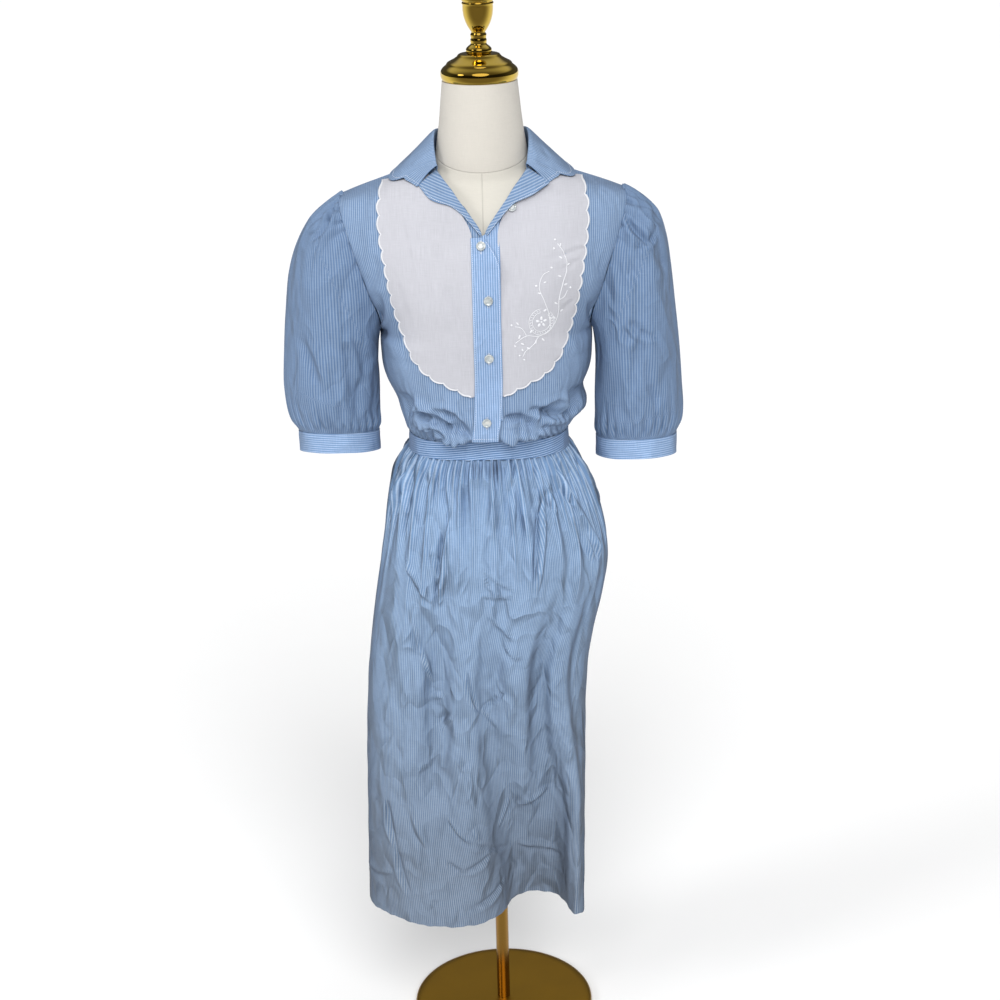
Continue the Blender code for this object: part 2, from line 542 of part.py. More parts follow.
# Collar, u from its right front end round the nape to the left, v from the neck seam out
def collar_surface(u, v):
    side = np.where(u < 0.5, -1.0, 1.0)
    p = np.abs(2 * u - 1)
    neck = np.stack([column(COLLAR, key, p, "p") for key in ("nx", "ny", "nz")], axis=-1)
    fold = np.stack([column(COLLAR, key, p, "p") for key in ("rx", "ry", "rz")], axis=-1)
    edge = np.stack([column(COLLAR, key, p, "p") for key in ("ex", "ey", "ez")], axis=-1)
    middle = fold * 0.45 + edge * 0.55 + np.array([0.0, 0.0, 0.0030])
    knots = (0.0, 0.36, 0.72, 1.0)
    points = np.zeros_like(neck)
    steps = np.diff(knots)
    stack = [neck, fold, middle, edge]
    rise = [(b - a) / h for a, b, h in zip(stack, stack[1:], steps)]
    slope = [rise[0], (rise[0] * steps[1] + rise[1] * steps[0]) / (steps[0] + steps[1]),
             (rise[1] * steps[2] + rise[2] * steps[1]) / (steps[1] + steps[2]), rise[2]]
    for k in range(3):
        t = ((v - knots[k]) / steps[k])[:, None]
        inside = ((v >= knots[k]) & (v <= knots[k + 1]))[:, None]
        curve = ((1 + 2 * t) * (1 - t) ** 2 * stack[k] + t * (1 - t) ** 2 * steps[k] * slope[k]
                 + t * t * (3 - 2 * t) * stack[k + 1] + t * t * (t - 1) * steps[k] * slope[k + 1])
        points = np.where(inside, curve, points)
    points[:, 0] *= side
    return points


# Sleeve, u round it from the top to the front, under and back, v from the armhole down
def sleeve_surface(u, v, table, side):
    around = 2 * np.pi * u
    crowd = around - 0.50 * np.sin(around) * (1 - ease(v / 0.5))
    ox = column(table, "ox", v, "t")
    oz = column(table, "oz", v, "t")
    ix = column(table, "ix", v, "t")
    iz = column(table, "iz", v, "t")
    reach = np.where(np.sin(crowd) > 0, column(table, "front", v, "t"), column(table, "back", v, "t"))
    middle_x = (ox + ix) / 2
    middle_z = (oz + iz) / 2
    cosine = np.sign(np.cos(crowd)) * np.abs(np.cos(crowd)) ** 0.92
    sine = np.abs(np.sin(crowd)) ** 0.92
    x = middle_x + (ox - ix) / 2 * cosine
    y = reach * sine
    z = middle_z + (oz - iz) / 2 * cosine
    # armhole loop, read as a share of the way down from the tip to the underarm
    down = 1 - np.abs(np.mod(crowd / np.pi, 2.0) - 1.0)
    down = np.clip(down, 0, 1)
    share = 1.0 - 0.52 * down
    front = np.stack([column(FRONT_SIDE, key, share, "v") for key in ("x", "y", "z")], axis=-1)
    back = np.stack([column(BACK_SIDE, key, share, "v") for key in ("x", "y", "z")], axis=-1)
    hole = np.where((np.sin(crowd) > 0)[:, None], front, back)
    hole[:, 0] += 0.0014
    blend = (1 - ease(v / 0.22))[:, None]
    points = np.stack([x, y, z], axis=-1) * (1 - blend) + hole * blend
    head = 0.5 + 0.5 * np.cos(crowd)
    amount = column(table, "gather", v, "t")
    keep = np.where(v < 0.5, 0.15 + 0.85 * head, 0.55 + 0.45 * np.abs(np.sin(crowd)))
    wave = amount * keep * np.cos(2 * np.pi * SLEEVE_GATHERS * u)
    wave = wave * (0.8 + 0.2 * np.sin(3 * around + 0.6))
    centre = np.stack([middle_x, middle_x * 0, middle_z], axis=-1)
    away = points - centre
    away = away / np.maximum(np.linalg.norm(away, axis=-1, keepdims=True), 1e-6)
    points = points + away * wave[:, None]
    return mirrored(points, side)


def sleeve_shape(table, side):
    def shape(u, v):
        return sleeve_surface(np.mod(u, 1.0), v, table, side)
    return shape


def cuff_shape(table, side, tilt):
    def shape(u, v):
        around = 2 * np.pi * np.mod(u, 1.0)
        ox = table["ox"][-1] + 0.0006
        ix = table["ix"][-1] - 0.0006
        cosine = np.sign(np.cos(around)) * np.abs(np.cos(around)) ** 0.92
        sine = np.sign(np.sin(around)) * np.abs(np.sin(around)) ** 0.92
        reach = np.where(sine > 0, table["front"][-1], -table["back"][-1])
        x = (ox + ix) / 2 + (ox - ix) / 2 * cosine
        y = reach * sine
        top = (table["oz"][-1] + table["iz"][-1]) / 2 + (table["oz"][-1] - table["iz"][-1]) / 2 * cosine
        z = top - 0.0006 - 0.0290 * v - tilt * v * y
        return mirrored(np.stack([x, y, z], axis=-1), side)
    return shape


# Waistband ring: height follows the body, front a little higher
def band_ring(angle, drop, lift=0.0):
    c = np.cos(angle)
    s = np.sin(angle)
    reach = np.where(c > 0, 0.0965, 0.0880) + 0.0012 * drop + lift
    half = WAIST_HALF + 0.0012 * drop + lift
    power = 2 / 2.2
    x = half * np.sign(s) * np.abs(s) ** power
    y = -reach * np.sign(c) * np.abs(c) ** power
    top = waist_height(np.abs(s) ** power, c > 0)
    return np.stack([x, y, top - SEAM - BAND_HEIGHT * drop], axis=-1)


def band_shape(u, v):
    start = math.radians(6.0)
    sweep = math.radians(360.0 + 13.0)
    angle = start - sweep * u
    over = ease((0.10 - u) / 0.10)
    return band_ring(angle, 1 - v, 0.0 + 0.0015 * (1 - over))


# Skirt: plan rings read by their share of the way round each half
def plan_reader(xs, ys):
    xs = np.asarray(xs, float)
    ys = np.asarray(ys, float)
    run = np.concatenate([[0], np.cumsum(np.hypot(np.diff(xs), np.diff(ys)))])
    run = run / run[-1]
    return lambda at: (smooth(run, xs, at), smooth(run, ys, at))


def oval_plan(half, centre, front, back, z, full=2.2):
    angle = np.linspace(-np.pi / 2, np.pi / 2, 25)
    power = 2 / full
    s = np.sign(np.sin(angle)) * np.abs(np.sin(angle)) ** power
    c = np.abs(np.cos(angle)) ** power
    return dict(z=z, fx=centre + half * s, fy=-front * c + 0.001, bx=centre - half * s, by=back * c + 0.001)


SKIRT_PLANS = [
    oval_plan(0.1146, 0.0, 0.0985, 0.0895, 0.9478),
    oval_plan(0.1270, 0.0, 0.1090, 0.1020, 0.9250),
    oval_plan(0.1420, 0.0020, 0.1180, 0.1170, 0.8850),
    HIP_PLAN, KNEE_PLAN, CALF_PLAN, HEM_PLAN,
]
SKIRT_GATHER = dict(
    z=(0.212, 0.70, 0.80, 0.86, 0.905, 0.93, 0.9478),
    out=(0.0, 0.0, 0.0012, 0.0022, 0.0030, 0.0030, 0.0010),
)


def skirt_surface(u, z, part):
    first, second = ("fx", "fy") if part == "front" else ("bx", "by")
    rings = [plan_reader(plan[first], plan[second])(u) for plan in SKIRT_PLANS]
    heights = np.array([-plan["z"] for plan in SKIRT_PLANS])
    at = -np.asarray(z, float)
    span = np.clip(np.searchsorted(heights, at, side="right") - 1, 0, len(heights) - 2)
    steps = np.diff(heights)
    stack_x = np.array([ring[0] for ring in rings])
    stack_y = np.array([ring[1] for ring in rings])
    result = []
    for stack in (stack_x, stack_y):
        rise = np.diff(stack, axis=0) / steps[:, None]
        slope = np.empty_like(stack)
        slope[0] = rise[0]
        slope[-1] = rise[-1]
        slope[1:-1] = (rise[:-1] * steps[1:, None] + rise[1:] * steps[:-1, None]) / (
            steps[1:, None] + steps[:-1, None])
        here = np.arange(len(at))
        h = steps[span]
        t = np.clip((at - heights[span]) / h, 0, 1)
        result.append((1 + 2 * t) * (1 - t) ** 2 * stack[span, here]
                      + t * (1 - t) ** 2 * h * slope[span, here]
                      + t * t * (3 - 2 * t) * stack[span + 1, here]
                      + t * t * (t - 1) * h * slope[span + 1, here])
    x, y = result
    amount = column(SKIRT_GATHER, "out", z, "z")
    wave = amount * np.cos(2 * np.pi * SKIRT_GATHERS * u) * (0.8 + 0.2 * np.sin(9.0 * u + 1.0))
    wave = wave * ease(u / 0.06) * ease((1 - u) / 0.06)
    length = np.hypot(x, y)
    x = x + wave * x / length
    y = y + wave * y / length
    half = np.interp(z, (0.885, 0.925, 0.9478), (0.142, 0.127, 0.1146))
    top = waist_height(np.clip(np.abs(x) / half, 0, 1), part == "front") - WAIST_SIDE
    follow = ease((z - 0.84) / 0.1078)
    return np.stack([x, y, z - 0.0064 + top * follow], axis=-1)


def skirt_shape(part):
    def shape(u, v):
        rows = np.asarray(SKIRT_ROWS)
        z = np.interp(v * (len(rows) - 1), np.arange(len(rows)), rows)
        keep = 0.0010 + u * 0.9980
        return skirt_surface(keep, z, part)
    return shape


# Torso rings, u round from the back, v from the foot to the neck
def torso_shape(u, v):
    index = v * (len(TORSO["z"]) - 1)
    knots = np.arange(len(TORSO["z"]))
    z = np.interp(index, knots, TORSO["z"])
    half = np.interp(index, knots, TORSO["half"])
    front = np.interp(index, knots, TORSO["front"])
    back = np.interp(index, knots, TORSO["back"])
    power = 2 / np.interp(index, knots, TORSO["full"])
    angle = 2 * np.pi * np.mod(u, 1.0)
    c = np.cos(angle)
    s = np.sin(angle)
    x = half * np.sign(s) * np.abs(s) ** power
    y = np.where(c > 0, -front, back) * np.abs(c) ** power
    return np.stack([x, y, z], axis=-1)


def torso(name, paint):
    columns = 28
    rows = len(TORSO["z"]) - 1
    piece = cloth_grid(name, columns, rows, torso_shape, paint, wall=0, ring=True)
    bm = bmesh.new()
    bm.from_mesh(piece.data)
    bmesh.ops.holes_fill(bm, edges=[edge for edge in bm.edges if edge.is_boundary], sides=0)
    bmesh.ops.recalc_face_normals(bm, faces=bm.faces)
    bm.to_mesh(piece.data)
    bm.free()
    return piece


def main():
    for item in list(bpy.data.objects):
        bpy.data.objects.remove(item)
    global GARMENT
    GARMENT = bpy.data.collections.new("shirt_dress")
    bpy.context.scene.collection.children.link(GARMENT)

    blue = material("striped_blue_cotton", (0.33, 0.45, 0.62), 0.85)
    white = material("white_cotton", (0.74, 0.75, 0.80), 0.85)
    pearl = material("pearl_button", (0.80, 0.80, 0.78), 0.30)
    linen = material("form_linen", (0.80, 0.77, 0.71), 0.90)
    brass = material("polished_brass", (0.60, 0.40, 0.14), 0.22, 1.0)
    bronze = material("dark_brass", (0.26, 0.18, 0.07), 0.38, 1.0)

    # Bodice
    cloth_grid("bodice_front_right", 2 * FRONT_GATHERS, len(BODICE_ROWS) - 1, front_shape(-1), blue, flip=True)
    cloth_grid("bodice_front_left", 2 * FRONT_GATHERS, len(BODICE_ROWS) - 1, front_shape(1), blue)
    cloth_grid("bodice_back", 2 * BACK_GATHERS, len(BODICE_ROWS) - 1, back_surface, blue, flip=True)
    cloth_grid("bib_right", 4, 2 * BIB_SCALLOPS, bib_shape(-1), white)
    cloth_grid("bib_left", 4, 2 * BIB_SCALLOPS, bib_shape(1), white, flip=True)
    cloth_grid("placket_left", 3, 12, stand_shape(UNDER_STAND), blue)
    cloth_grid("placket_right", 4, 14, stand_shape(TOP_STAND), blue)

    # Collar and lapels
    cloth_grid("collar", 24, 5, collar_surface, blue)
    cloth_grid("lapel_right", 3, 8, lapel_shape(LAPEL_RIGHT, -1, 0.0), blue, flip=True)
    cloth_grid("lapel_left", 3, 8, lapel_shape(LAPEL_LEFT, 1, 0.0036), blue)

    # Sleeves and cuffs
    for name, table, side in (("right", SLEEVE_RIGHT, -1), ("left", SLEEVE_LEFT, 1)):
        flip = side < 0
        cloth_grid("sleeve_" + name, 2 * SLEEVE_GATHERS, 8, sleeve_shape(table, side), blue,
                   ring=True, flip=flip)
        tilt = 0.10 if name == "right" else 0.02
        cloth_grid("cuff_" + name, 28, 1, cuff_shape(table, side, tilt), blue, ring=True, flip=flip)

    # Waistband and skirt
    cloth_grid("waistband", 56, 1, band_shape, blue, flip=True)
    cloth_grid("skirt_front", 2 * SKIRT_GATHERS, len(SKIRT_ROWS) - 1, skirt_shape("front"), blue, flip=True)
    cloth_grid("skirt_back", 2 * SKIRT_GATHERS, len(SKIRT_ROWS) - 1, skirt_shape("back"), blue, flip=True)

    # Buttons lie on the stand, square to the cloth
    for button in BUTTONS:
        x = np.array([abs(button["x"])])
        z = np.array([button["z"]])
        near = front_at(x, z, np.array([button["out"]]))[0]
        far = front_at(x, z, np.array([button["out"] + 0.01]))[0]
        out = far - near
        if button["x"] < 0:
            near[0] *= -1
            out[0] *= -1
        turned(button["name"], BUTTON, 12, pearl, tuple(near), Vector(out))

    # Dress form and its stand
    torso("form_torso", linen)
    turned("neck_cap", CAP, 24, brass)
    turned("finial", FINIAL, 16, brass)
    turned("pole_flange", FLANGE, 16, bronze)
    turned("pole", dict(r=(POLE_RADIUS, POLE_RADIUS), z=(0.7392, 0.0123)), 16, brass)
    turned("base_disc", FOOT, 36, bronze)


main()
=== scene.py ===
# Shirt dress on a limbless dress form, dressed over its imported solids
# Metres, +Z up, front towards -Y; right and left are the wearer's
import math

import bmesh
import bpy
import numpy as np
from mathutils import Matrix, Vector


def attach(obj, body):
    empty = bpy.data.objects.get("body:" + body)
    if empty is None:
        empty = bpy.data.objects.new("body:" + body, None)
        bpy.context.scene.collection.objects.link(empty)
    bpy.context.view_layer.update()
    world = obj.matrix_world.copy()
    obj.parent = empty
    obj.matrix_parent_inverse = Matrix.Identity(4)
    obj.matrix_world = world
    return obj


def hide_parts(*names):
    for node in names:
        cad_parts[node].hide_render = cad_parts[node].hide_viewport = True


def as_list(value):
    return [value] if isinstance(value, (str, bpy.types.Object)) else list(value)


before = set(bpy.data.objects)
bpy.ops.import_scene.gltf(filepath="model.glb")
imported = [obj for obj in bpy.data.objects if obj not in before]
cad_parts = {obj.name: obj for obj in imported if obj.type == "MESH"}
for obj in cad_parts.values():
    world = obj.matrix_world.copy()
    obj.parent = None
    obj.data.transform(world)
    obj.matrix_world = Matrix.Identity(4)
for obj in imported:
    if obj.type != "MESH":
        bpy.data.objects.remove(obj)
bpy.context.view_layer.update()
print("frame loaded")


# Reading tables and shaping sheets

def slopes(values, steps):  # of a smooth curve through the values
    steps = steps.reshape(-1, *[1] * (values.ndim - 1))
    rise = np.diff(values, axis=0) / steps
    slope = np.empty_like(values)
    slope[0], slope[-1] = rise[0], rise[-1]
    slope[1:-1] = (rise[:-1] * steps[1:] + rise[1:] * steps[:-1]) / (steps[1:] + steps[:-1])
    return slope


def between(t, step, low, high, slopeLow, slopeHigh):  # share t of the way along one step of the curve
    return ((1 + 2 * t) * (1 - t) ** 2 * low + t * (1 - t) ** 2 * step * slopeLow
            + t * t * (3 - 2 * t) * high + t * t * (t - 1) * step * slopeHigh)


def smooth(knots, values, at):
    knots, values, at = (np.asarray(numbers, float) for numbers in (knots, values, at))
    steps = np.diff(knots)
    slope = slopes(values, steps)
    span = np.clip(np.searchsorted(knots, at, side="right") - 1, 0, len(knots) - 2)
    t = np.clip((at - knots[span]) / steps[span], 0.0, 1.0)
    return between(t, steps[span], values[span], values[span + 1], slope[span], slope[span + 1])


def read(table, key, at, by):
    return smooth(table[by], table[key], at)


def rows(table, keys):  # row by row through a table's named columns
    return zip(*(table[key] for key in keys.split()))


def ease(t):
    t = np.clip(t, 0.0, 1.0)
    return t * t * (3 - 2 * t)


def uneven(u, seed, size=1.0):  # slow wander between -1 and 1 along a seam
    return size * (0.5 * np.sin(7.9 * u + seed) + 0.3 * np.sin(19.3 * u + 2.1 * seed)
                   + 0.2 * np.sin(41.0 * u + 3.7 * seed))


def pleatProfile(phase):  # round on top, pinched in the valley
    return 2 * np.abs(np.cos(phase / 2)) ** 0.62 - 1.25


# a, b are flat places on the cloth; deep over 0 is a trough with a lip beside it
def creaseHeight(a, b, table):
    height = np.zeros(np.broadcast(a, b).shape)
    for a0, b0, a1, b1, deep, wide, bend in rows(table, "a0 b0 a1 b1 deep wide bend"):
        da, db = a1 - a0, b1 - b0
        length = math.hypot(da, db)
        t = ((a - a0) * da + (b - b0) * db) / length ** 2
        off = ((a - a0) * db - (b - b0) * da) / length - bend * 4 * t * (1 - t)
        inside = np.clip(t, 0, 1)
        side = off / (wide * (0.55 + 0.45 * np.sin(np.pi * inside)))
        fade = ease((t + 0.12) / 0.35) * ease((1.12 - t) / 0.35)
        height = height - deep * fade * (np.exp(-side ** 2) - 0.55 * np.exp(-((side - 1.7) / 1.1) ** 2))
    return height


def runAlong(points):  # length from the first point to each
    return np.concatenate([[0], np.cumsum(np.linalg.norm(np.diff(points, axis=0), axis=1))])


def clothGrid(name, columns, levels, shape, paint, wall, flip=False, ring=False, relief=None,
              grain=(0.5, 0.5), across=None):
    # u runs across, v along; grain gives the level and column that are measured for the weave
    bm = bmesh.new()
    bmesh.ops.create_grid(bm, x_segments=columns, y_segments=levels, size=0.5)
    bm.verts.index_update()
    flat = np.array([vert.co[:2] for vert in bm.verts]) + 0.5
    i = np.round(flat[:, 0] * columns).astype(int)
    j = np.round(flat[:, 1] * levels).astype(int)
    u, v = i / columns, j / levels
    net = np.zeros((levels + 1, columns + 1, 3))
    net[j, i] = shape(u, v)
    uNet, vNet = np.zeros(net.shape[:2]), np.zeros(net.shape[:2])
    uNet[j, i], vNet[j, i] = u, v
    if relief is not None:
        if ring:
            wide = np.concatenate([net[:, -2:-1], net, net[:, 1:2]], axis=1)
            du = wide[:, 2:] - wide[:, :-2]
        else:
            du = np.gradient(net, axis=1)
        dv = np.gradient(net, axis=0)
        out = np.cross(du, dv) * (-1 if flip else 1)
        out /= np.maximum(np.linalg.norm(out, axis=2, keepdims=True), 1e-9)
        net = net + out * relief(uNet, vNet, net)[..., None]
    runU = runAlong(net[round(grain[0] * levels)])
    runV = runAlong(net[:, round(grain[1] * columns)])
    if across is not None:
        s, t = across(net, runU[None, :] + 0 * vNet, runV[:, None] + 0 * uNet)
    else:
        s = (runU - runU[columns // 2])[None, :] + 0 * vNet
        t = runV[:, None] + 0 * uNet
    for vert in bm.verts:
        vert.co = net[j[vert.index], i[vert.index]]
    uvLayer = bm.loops.layers.uv.new("cloth")
    for face in bm.faces:
        face.smooth = True
        for loop in face.loops:
            n = loop.vert.index
            loop[uvLayer].uv = (s[j[n], i[n]], t[j[n], i[n]])
    if ring:
        meeting = [vert for vert in bm.verts if i[vert.index] in (0, columns)]
        bmesh.ops.remove_doubles(bm, verts=meeting, dist=0.0001)
    for edge in bm.edges:
        edge.smooth = not edge.is_boundary
    if flip:
        bmesh.ops.reverse_faces(bm, faces=bm.faces)
    mesh = bpy.data.meshes.new(name)
    bm.to_mesh(mesh)
    bm.free()
    piece = bpy.data.objects.new(name, mesh)
    bpy.context.scene.collection.objects.link(piece)
    mesh.materials.append(paint)
    if wall:
        shell = piece.modifiers.new("wall", "SOLIDIFY")
        shell.thickness = wall
        shell.offset = -1.0
        shell.use_even_offset = False
    return piece


def finish(piece, slot, *nodes):
    if nodes:
        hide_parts(*nodes)
    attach(piece, "root")
    return piece


def meshPiece(name, bm, paint, sharpAngle=None):
    for face in bm.faces:
        face.smooth = True
    if sharpAngle:
        for edge in bm.edges:
            if len(edge.link_faces) == 2 and edge.calc_face_angle(0.0) > sharpAngle:
                edge.smooth = False
    mesh = bpy.data.meshes.new(name)
    bm.to_mesh(mesh)
    bm.free()
    mesh.materials.append(paint)
    piece = bpy.data.objects.new(name, mesh)
    bpy.context.scene.collection.objects.link(piece)
    return piece


# Shader groups

def group(name, inputs, outputs):
    tree = bpy.data.node_groups.new(name, "ShaderNodeTree")
    for label, kind, value in inputs:
        socket = tree.interface.new_socket(label, in_out="INPUT", socket_type=kind)
        socket.default_value = value
    for label, kind in outputs:
        tree.interface.new_socket(label, in_out="OUTPUT", socket_type=kind)
    return tree, tree.nodes.new("NodeGroupInput"), tree.nodes.new("NodeGroupOutput")


def node(tree, kind, **settings):
    made = tree.nodes.new(kind)
    links = settings.pop("links", {})
    values = settings.pop("values", {})
    for key, value in settings.items():
        setattr(made, key, value)
    for key, value in values.items():
        made.inputs[key].default_value = value
    for key, source in links.items():
        tree.links.new(source, made.inputs[key])
    return made


def maths(tree, operation, first, second=None, clamp=False):
    made = tree.nodes.new("ShaderNodeMath")
    made.operation = operation
    made.use_clamp = clamp
    for slot, value in enumerate((first, second)):
        if value is None:
            continue
        if isinstance(value, (int, float)):
            made.inputs[slot].default_value = value
        else:
            tree.links.new(value, made.inputs[slot])
    return made.outputs[0]


def blend(tree, share, first, second, mode="MIX"):
    made = tree.nodes.new("ShaderNodeMix")
    made.data_type = "RGBA"
    made.blend_type = mode
    for slot, value in ((0, share), (6, first), (7, second)):
        if isinstance(value, (int, float)):
            made.inputs[slot].default_value = value
        elif isinstance(value, tuple):
            made.inputs[slot].default_value = (*value, 1.0)
        else:
            tree.links.new(value, made.inputs[slot])
    return made.outputs[2]


def noise(tree, vector, scale, detail=2.0, rough=0.5):
    made = node(tree, "ShaderNodeTexNoise", values={"Scale": scale, "Detail": detail, "Roughness": rough})
    tree.links.new(vector, made.inputs["Vector"])
    return made.outputs["Fac"]


def stretched(tree, vector, x, y, z=1.0):
    made = node(tree, "ShaderNodeVectorMath", operation="MULTIPLY", links={0: vector})
    made.inputs[1].default_value = (x, y, z)
    return made.outputs[0]


def ramp(tree, value, start, end, low=0.0, high=1.0, kind="SMOOTHSTEP"):
    return node(tree, "ShaderNodeMapRange", interpolation_type=kind, links={"Value": value},
                values={"From Min": start, "From Max": end, "To Min": low, "To Max": high}).outputs[0]


# Warp and weft with slubs, read in metres on the cloth
def makeWeave():
    tree, source, sink = group("weave", [("Vector", "NodeSocketVector", (0, 0, 0)),
                                         ("Pitch", "NodeSocketFloat", 0.0005),
                                         ("Slub", "NodeSocketFloat", 0.2)],
                               [("Tone", "NodeSocketFloat"), ("Height", "NodeSocketFloat")])
    vector = source.outputs["Vector"]
    parts = node(tree, "ShaderNodeSeparateXYZ", links={0: vector})
    turnsX, turnsY = (maths(tree, "MULTIPLY", maths(tree, "DIVIDE", part, source.outputs["Pitch"]),
                            2 * math.pi)
                      for part in (parts.outputs[0], parts.outputs[1]))
    knit = maths(tree, "MULTIPLY", maths(tree, "SINE", turnsX), maths(tree, "SINE", turnsY))
    warp = noise(tree, stretched(tree, vector, 1250.0, 42.0), 1.0, 2.0, 0.6)
    weft = noise(tree, stretched(tree, vector, 55.0, 1100.0), 1.0, 2.0, 0.6)
    wash = noise(tree, stretched(tree, vector, 14.0, 9.0), 1.0, 3.0, 0.6)
    slubs = maths(tree, "ADD", maths(tree, "SUBTRACT", warp, 0.5),
                  maths(tree, "MULTIPLY", maths(tree, "SUBTRACT", weft, 0.5), 0.6))
    slubs = maths(tree, "MULTIPLY", slubs, source.outputs["Slub"])
    washed = maths(tree, "MULTIPLY", maths(tree, "SUBTRACT", wash, 0.5), 0.14)
    tree.links.new(maths(tree, "ADD", maths(tree, "ADD", slubs, washed), 1.0), sink.inputs["Tone"])
    height = maths(tree, "ADD", maths(tree, "MULTIPLY", knit, 0.35), maths(tree, "MULTIPLY", warp, 0.9))
    tree.links.new(maths(tree, "ADD", height, maths(tree, "MULTIPLY", weft, 0.5)), sink.inputs["Height"])
    return tree


# Fine woven stripe along the warp
def makeStripe():
    tree, source, sink = group("wovenStripe", [("Vector", "NodeSocketVector", (0, 0, 0)),
                                               ("Pitch", "NodeSocketFloat", 0.0032),
                                               ("Line", "NodeSocketFloat", 0.36),
                                               ("Blur", "NodeSocketFloat", 0.10)],
                               [("Mask", "NodeSocketFloat")])
    vector = source.outputs["Vector"]
    parts = node(tree, "ShaderNodeSeparateXYZ", links={0: vector})
    sway = noise(tree, stretched(tree, vector, 260.0, 60.0), 1.0)
    waver = maths(tree, "MULTIPLY", maths(tree, "SUBTRACT", sway, 0.5), 0.0006)
    place = maths(tree, "DIVIDE", maths(tree, "ADD", parts.outputs[0], waver), source.outputs["Pitch"])
    saw = maths(tree, "PINGPONG", place, 0.5)
    edge = maths(tree, "MULTIPLY", source.outputs["Line"], 0.5)
    clear = node(tree, "ShaderNodeMapRange", interpolation_type="SMOOTHSTEP", links={
        "Value": saw, "From Min": maths(tree, "SUBTRACT", edge, source.outputs["Blur"]),
        "From Max": maths(tree, "ADD", edge, source.outputs["Blur"])})
    tree.links.new(maths(tree, "SUBTRACT", 1.0, clear.outputs[0]), sink.inputs["Mask"])
    return tree


# Crushed and pressed cotton: flat facets that meet in crests and valleys, fading in and out
def makeCrush():
    tree, source, sink = group("crush", [("Vector", "NodeSocketVector", (0, 0, 0))],
                               [("Height", "NodeSocketFloat")])
    vector = source.outputs["Vector"]
    total = 0.0
    for turn, scale, share in ((0.6, 8.0, 0.50), (-0.5, 12.0, -0.46), (1.1, 21.0, 0.32), (-0.9, 33.0, -0.24)):
        turned = node(tree, "ShaderNodeMapping", links={"Vector": vector},
                      values={"Rotation": (0.0, turn, 0.3 * turn), "Scale": (1.0, 1.0, 0.5)}).outputs[0]
        field = node(tree, "ShaderNodeTexNoise", links={"Vector": turned},
                     values={"Scale": scale, "Detail": 1.0, "Roughness": 0.4,
                             "Distortion": 0.3}).outputs["Fac"]
        facet = maths(tree, "ABSOLUTE", maths(tree, "SUBTRACT", field, 0.5))
        patch = ramp(tree, noise(tree, vector, scale * 0.4, 1.0), 0.40, 0.60, 0.25, kind="LINEAR")
        total = maths(tree, "ADD", total,
                      maths(tree, "MULTIPLY", maths(tree, "MULTIPLY", facet, patch), share))
    tree.links.new(total, sink.inputs["Height"])
    return tree


weaveGroup = makeWeave()
stripeGroup = makeStripe()
crushGroup = makeCrush()


def newMaterial(name, look):  # look gives the shader's plain values
    paint = bpy.data.materials.new(name)
    paint.use_nodes = True
    shader = paint.node_tree.nodes["Principled BSDF"]
    for key, value in look.items():
        shader.inputs[key].default_value = value
    return paint, paint.node_tree, shader


def placeGroup(tree, inner, vector, **values):
    made = tree.nodes.new("ShaderNodeGroup")
    made.node_tree = inner
    tree.links.new(vector, made.inputs["Vector"])
    for key, value in values.items():
        made.inputs[key].default_value = value
    return made


def bumpTo(tree, shader, height, strength, distance):
    bump = node(tree, "ShaderNodeBump", values={"Strength": strength, "Distance": distance},
                links={"Height": height})
    tree.links.new(bump.outputs[0], shader.inputs["Normal"])
    return bump


def clothUv(tree):
    return node(tree, "ShaderNodeUVMap", uv_map="cloth").outputs[0]


def tinted(tree, colour, tone):
    grey = node(tree, "ShaderNodeCombineColor", links={0: tone, 1: tone, 2: tone})
    return blend(tree, 1.0, colour, grey.outputs[0], "MULTIPLY")


cottonLook = {
    "pitch": 0.0032, "line": 0.40, "crush": 0.1250,
    # away and low are tints of painted shade: away for cloth seen edge on, low for the lower cloth
    "away": (0.25, 0.27, 0.32), "low": (0.66, 0.58, 0.52),
    "shader": {"Roughness": 0.82, "Sheen Weight": 0.03, "Specular IOR Level": 0.25},
}


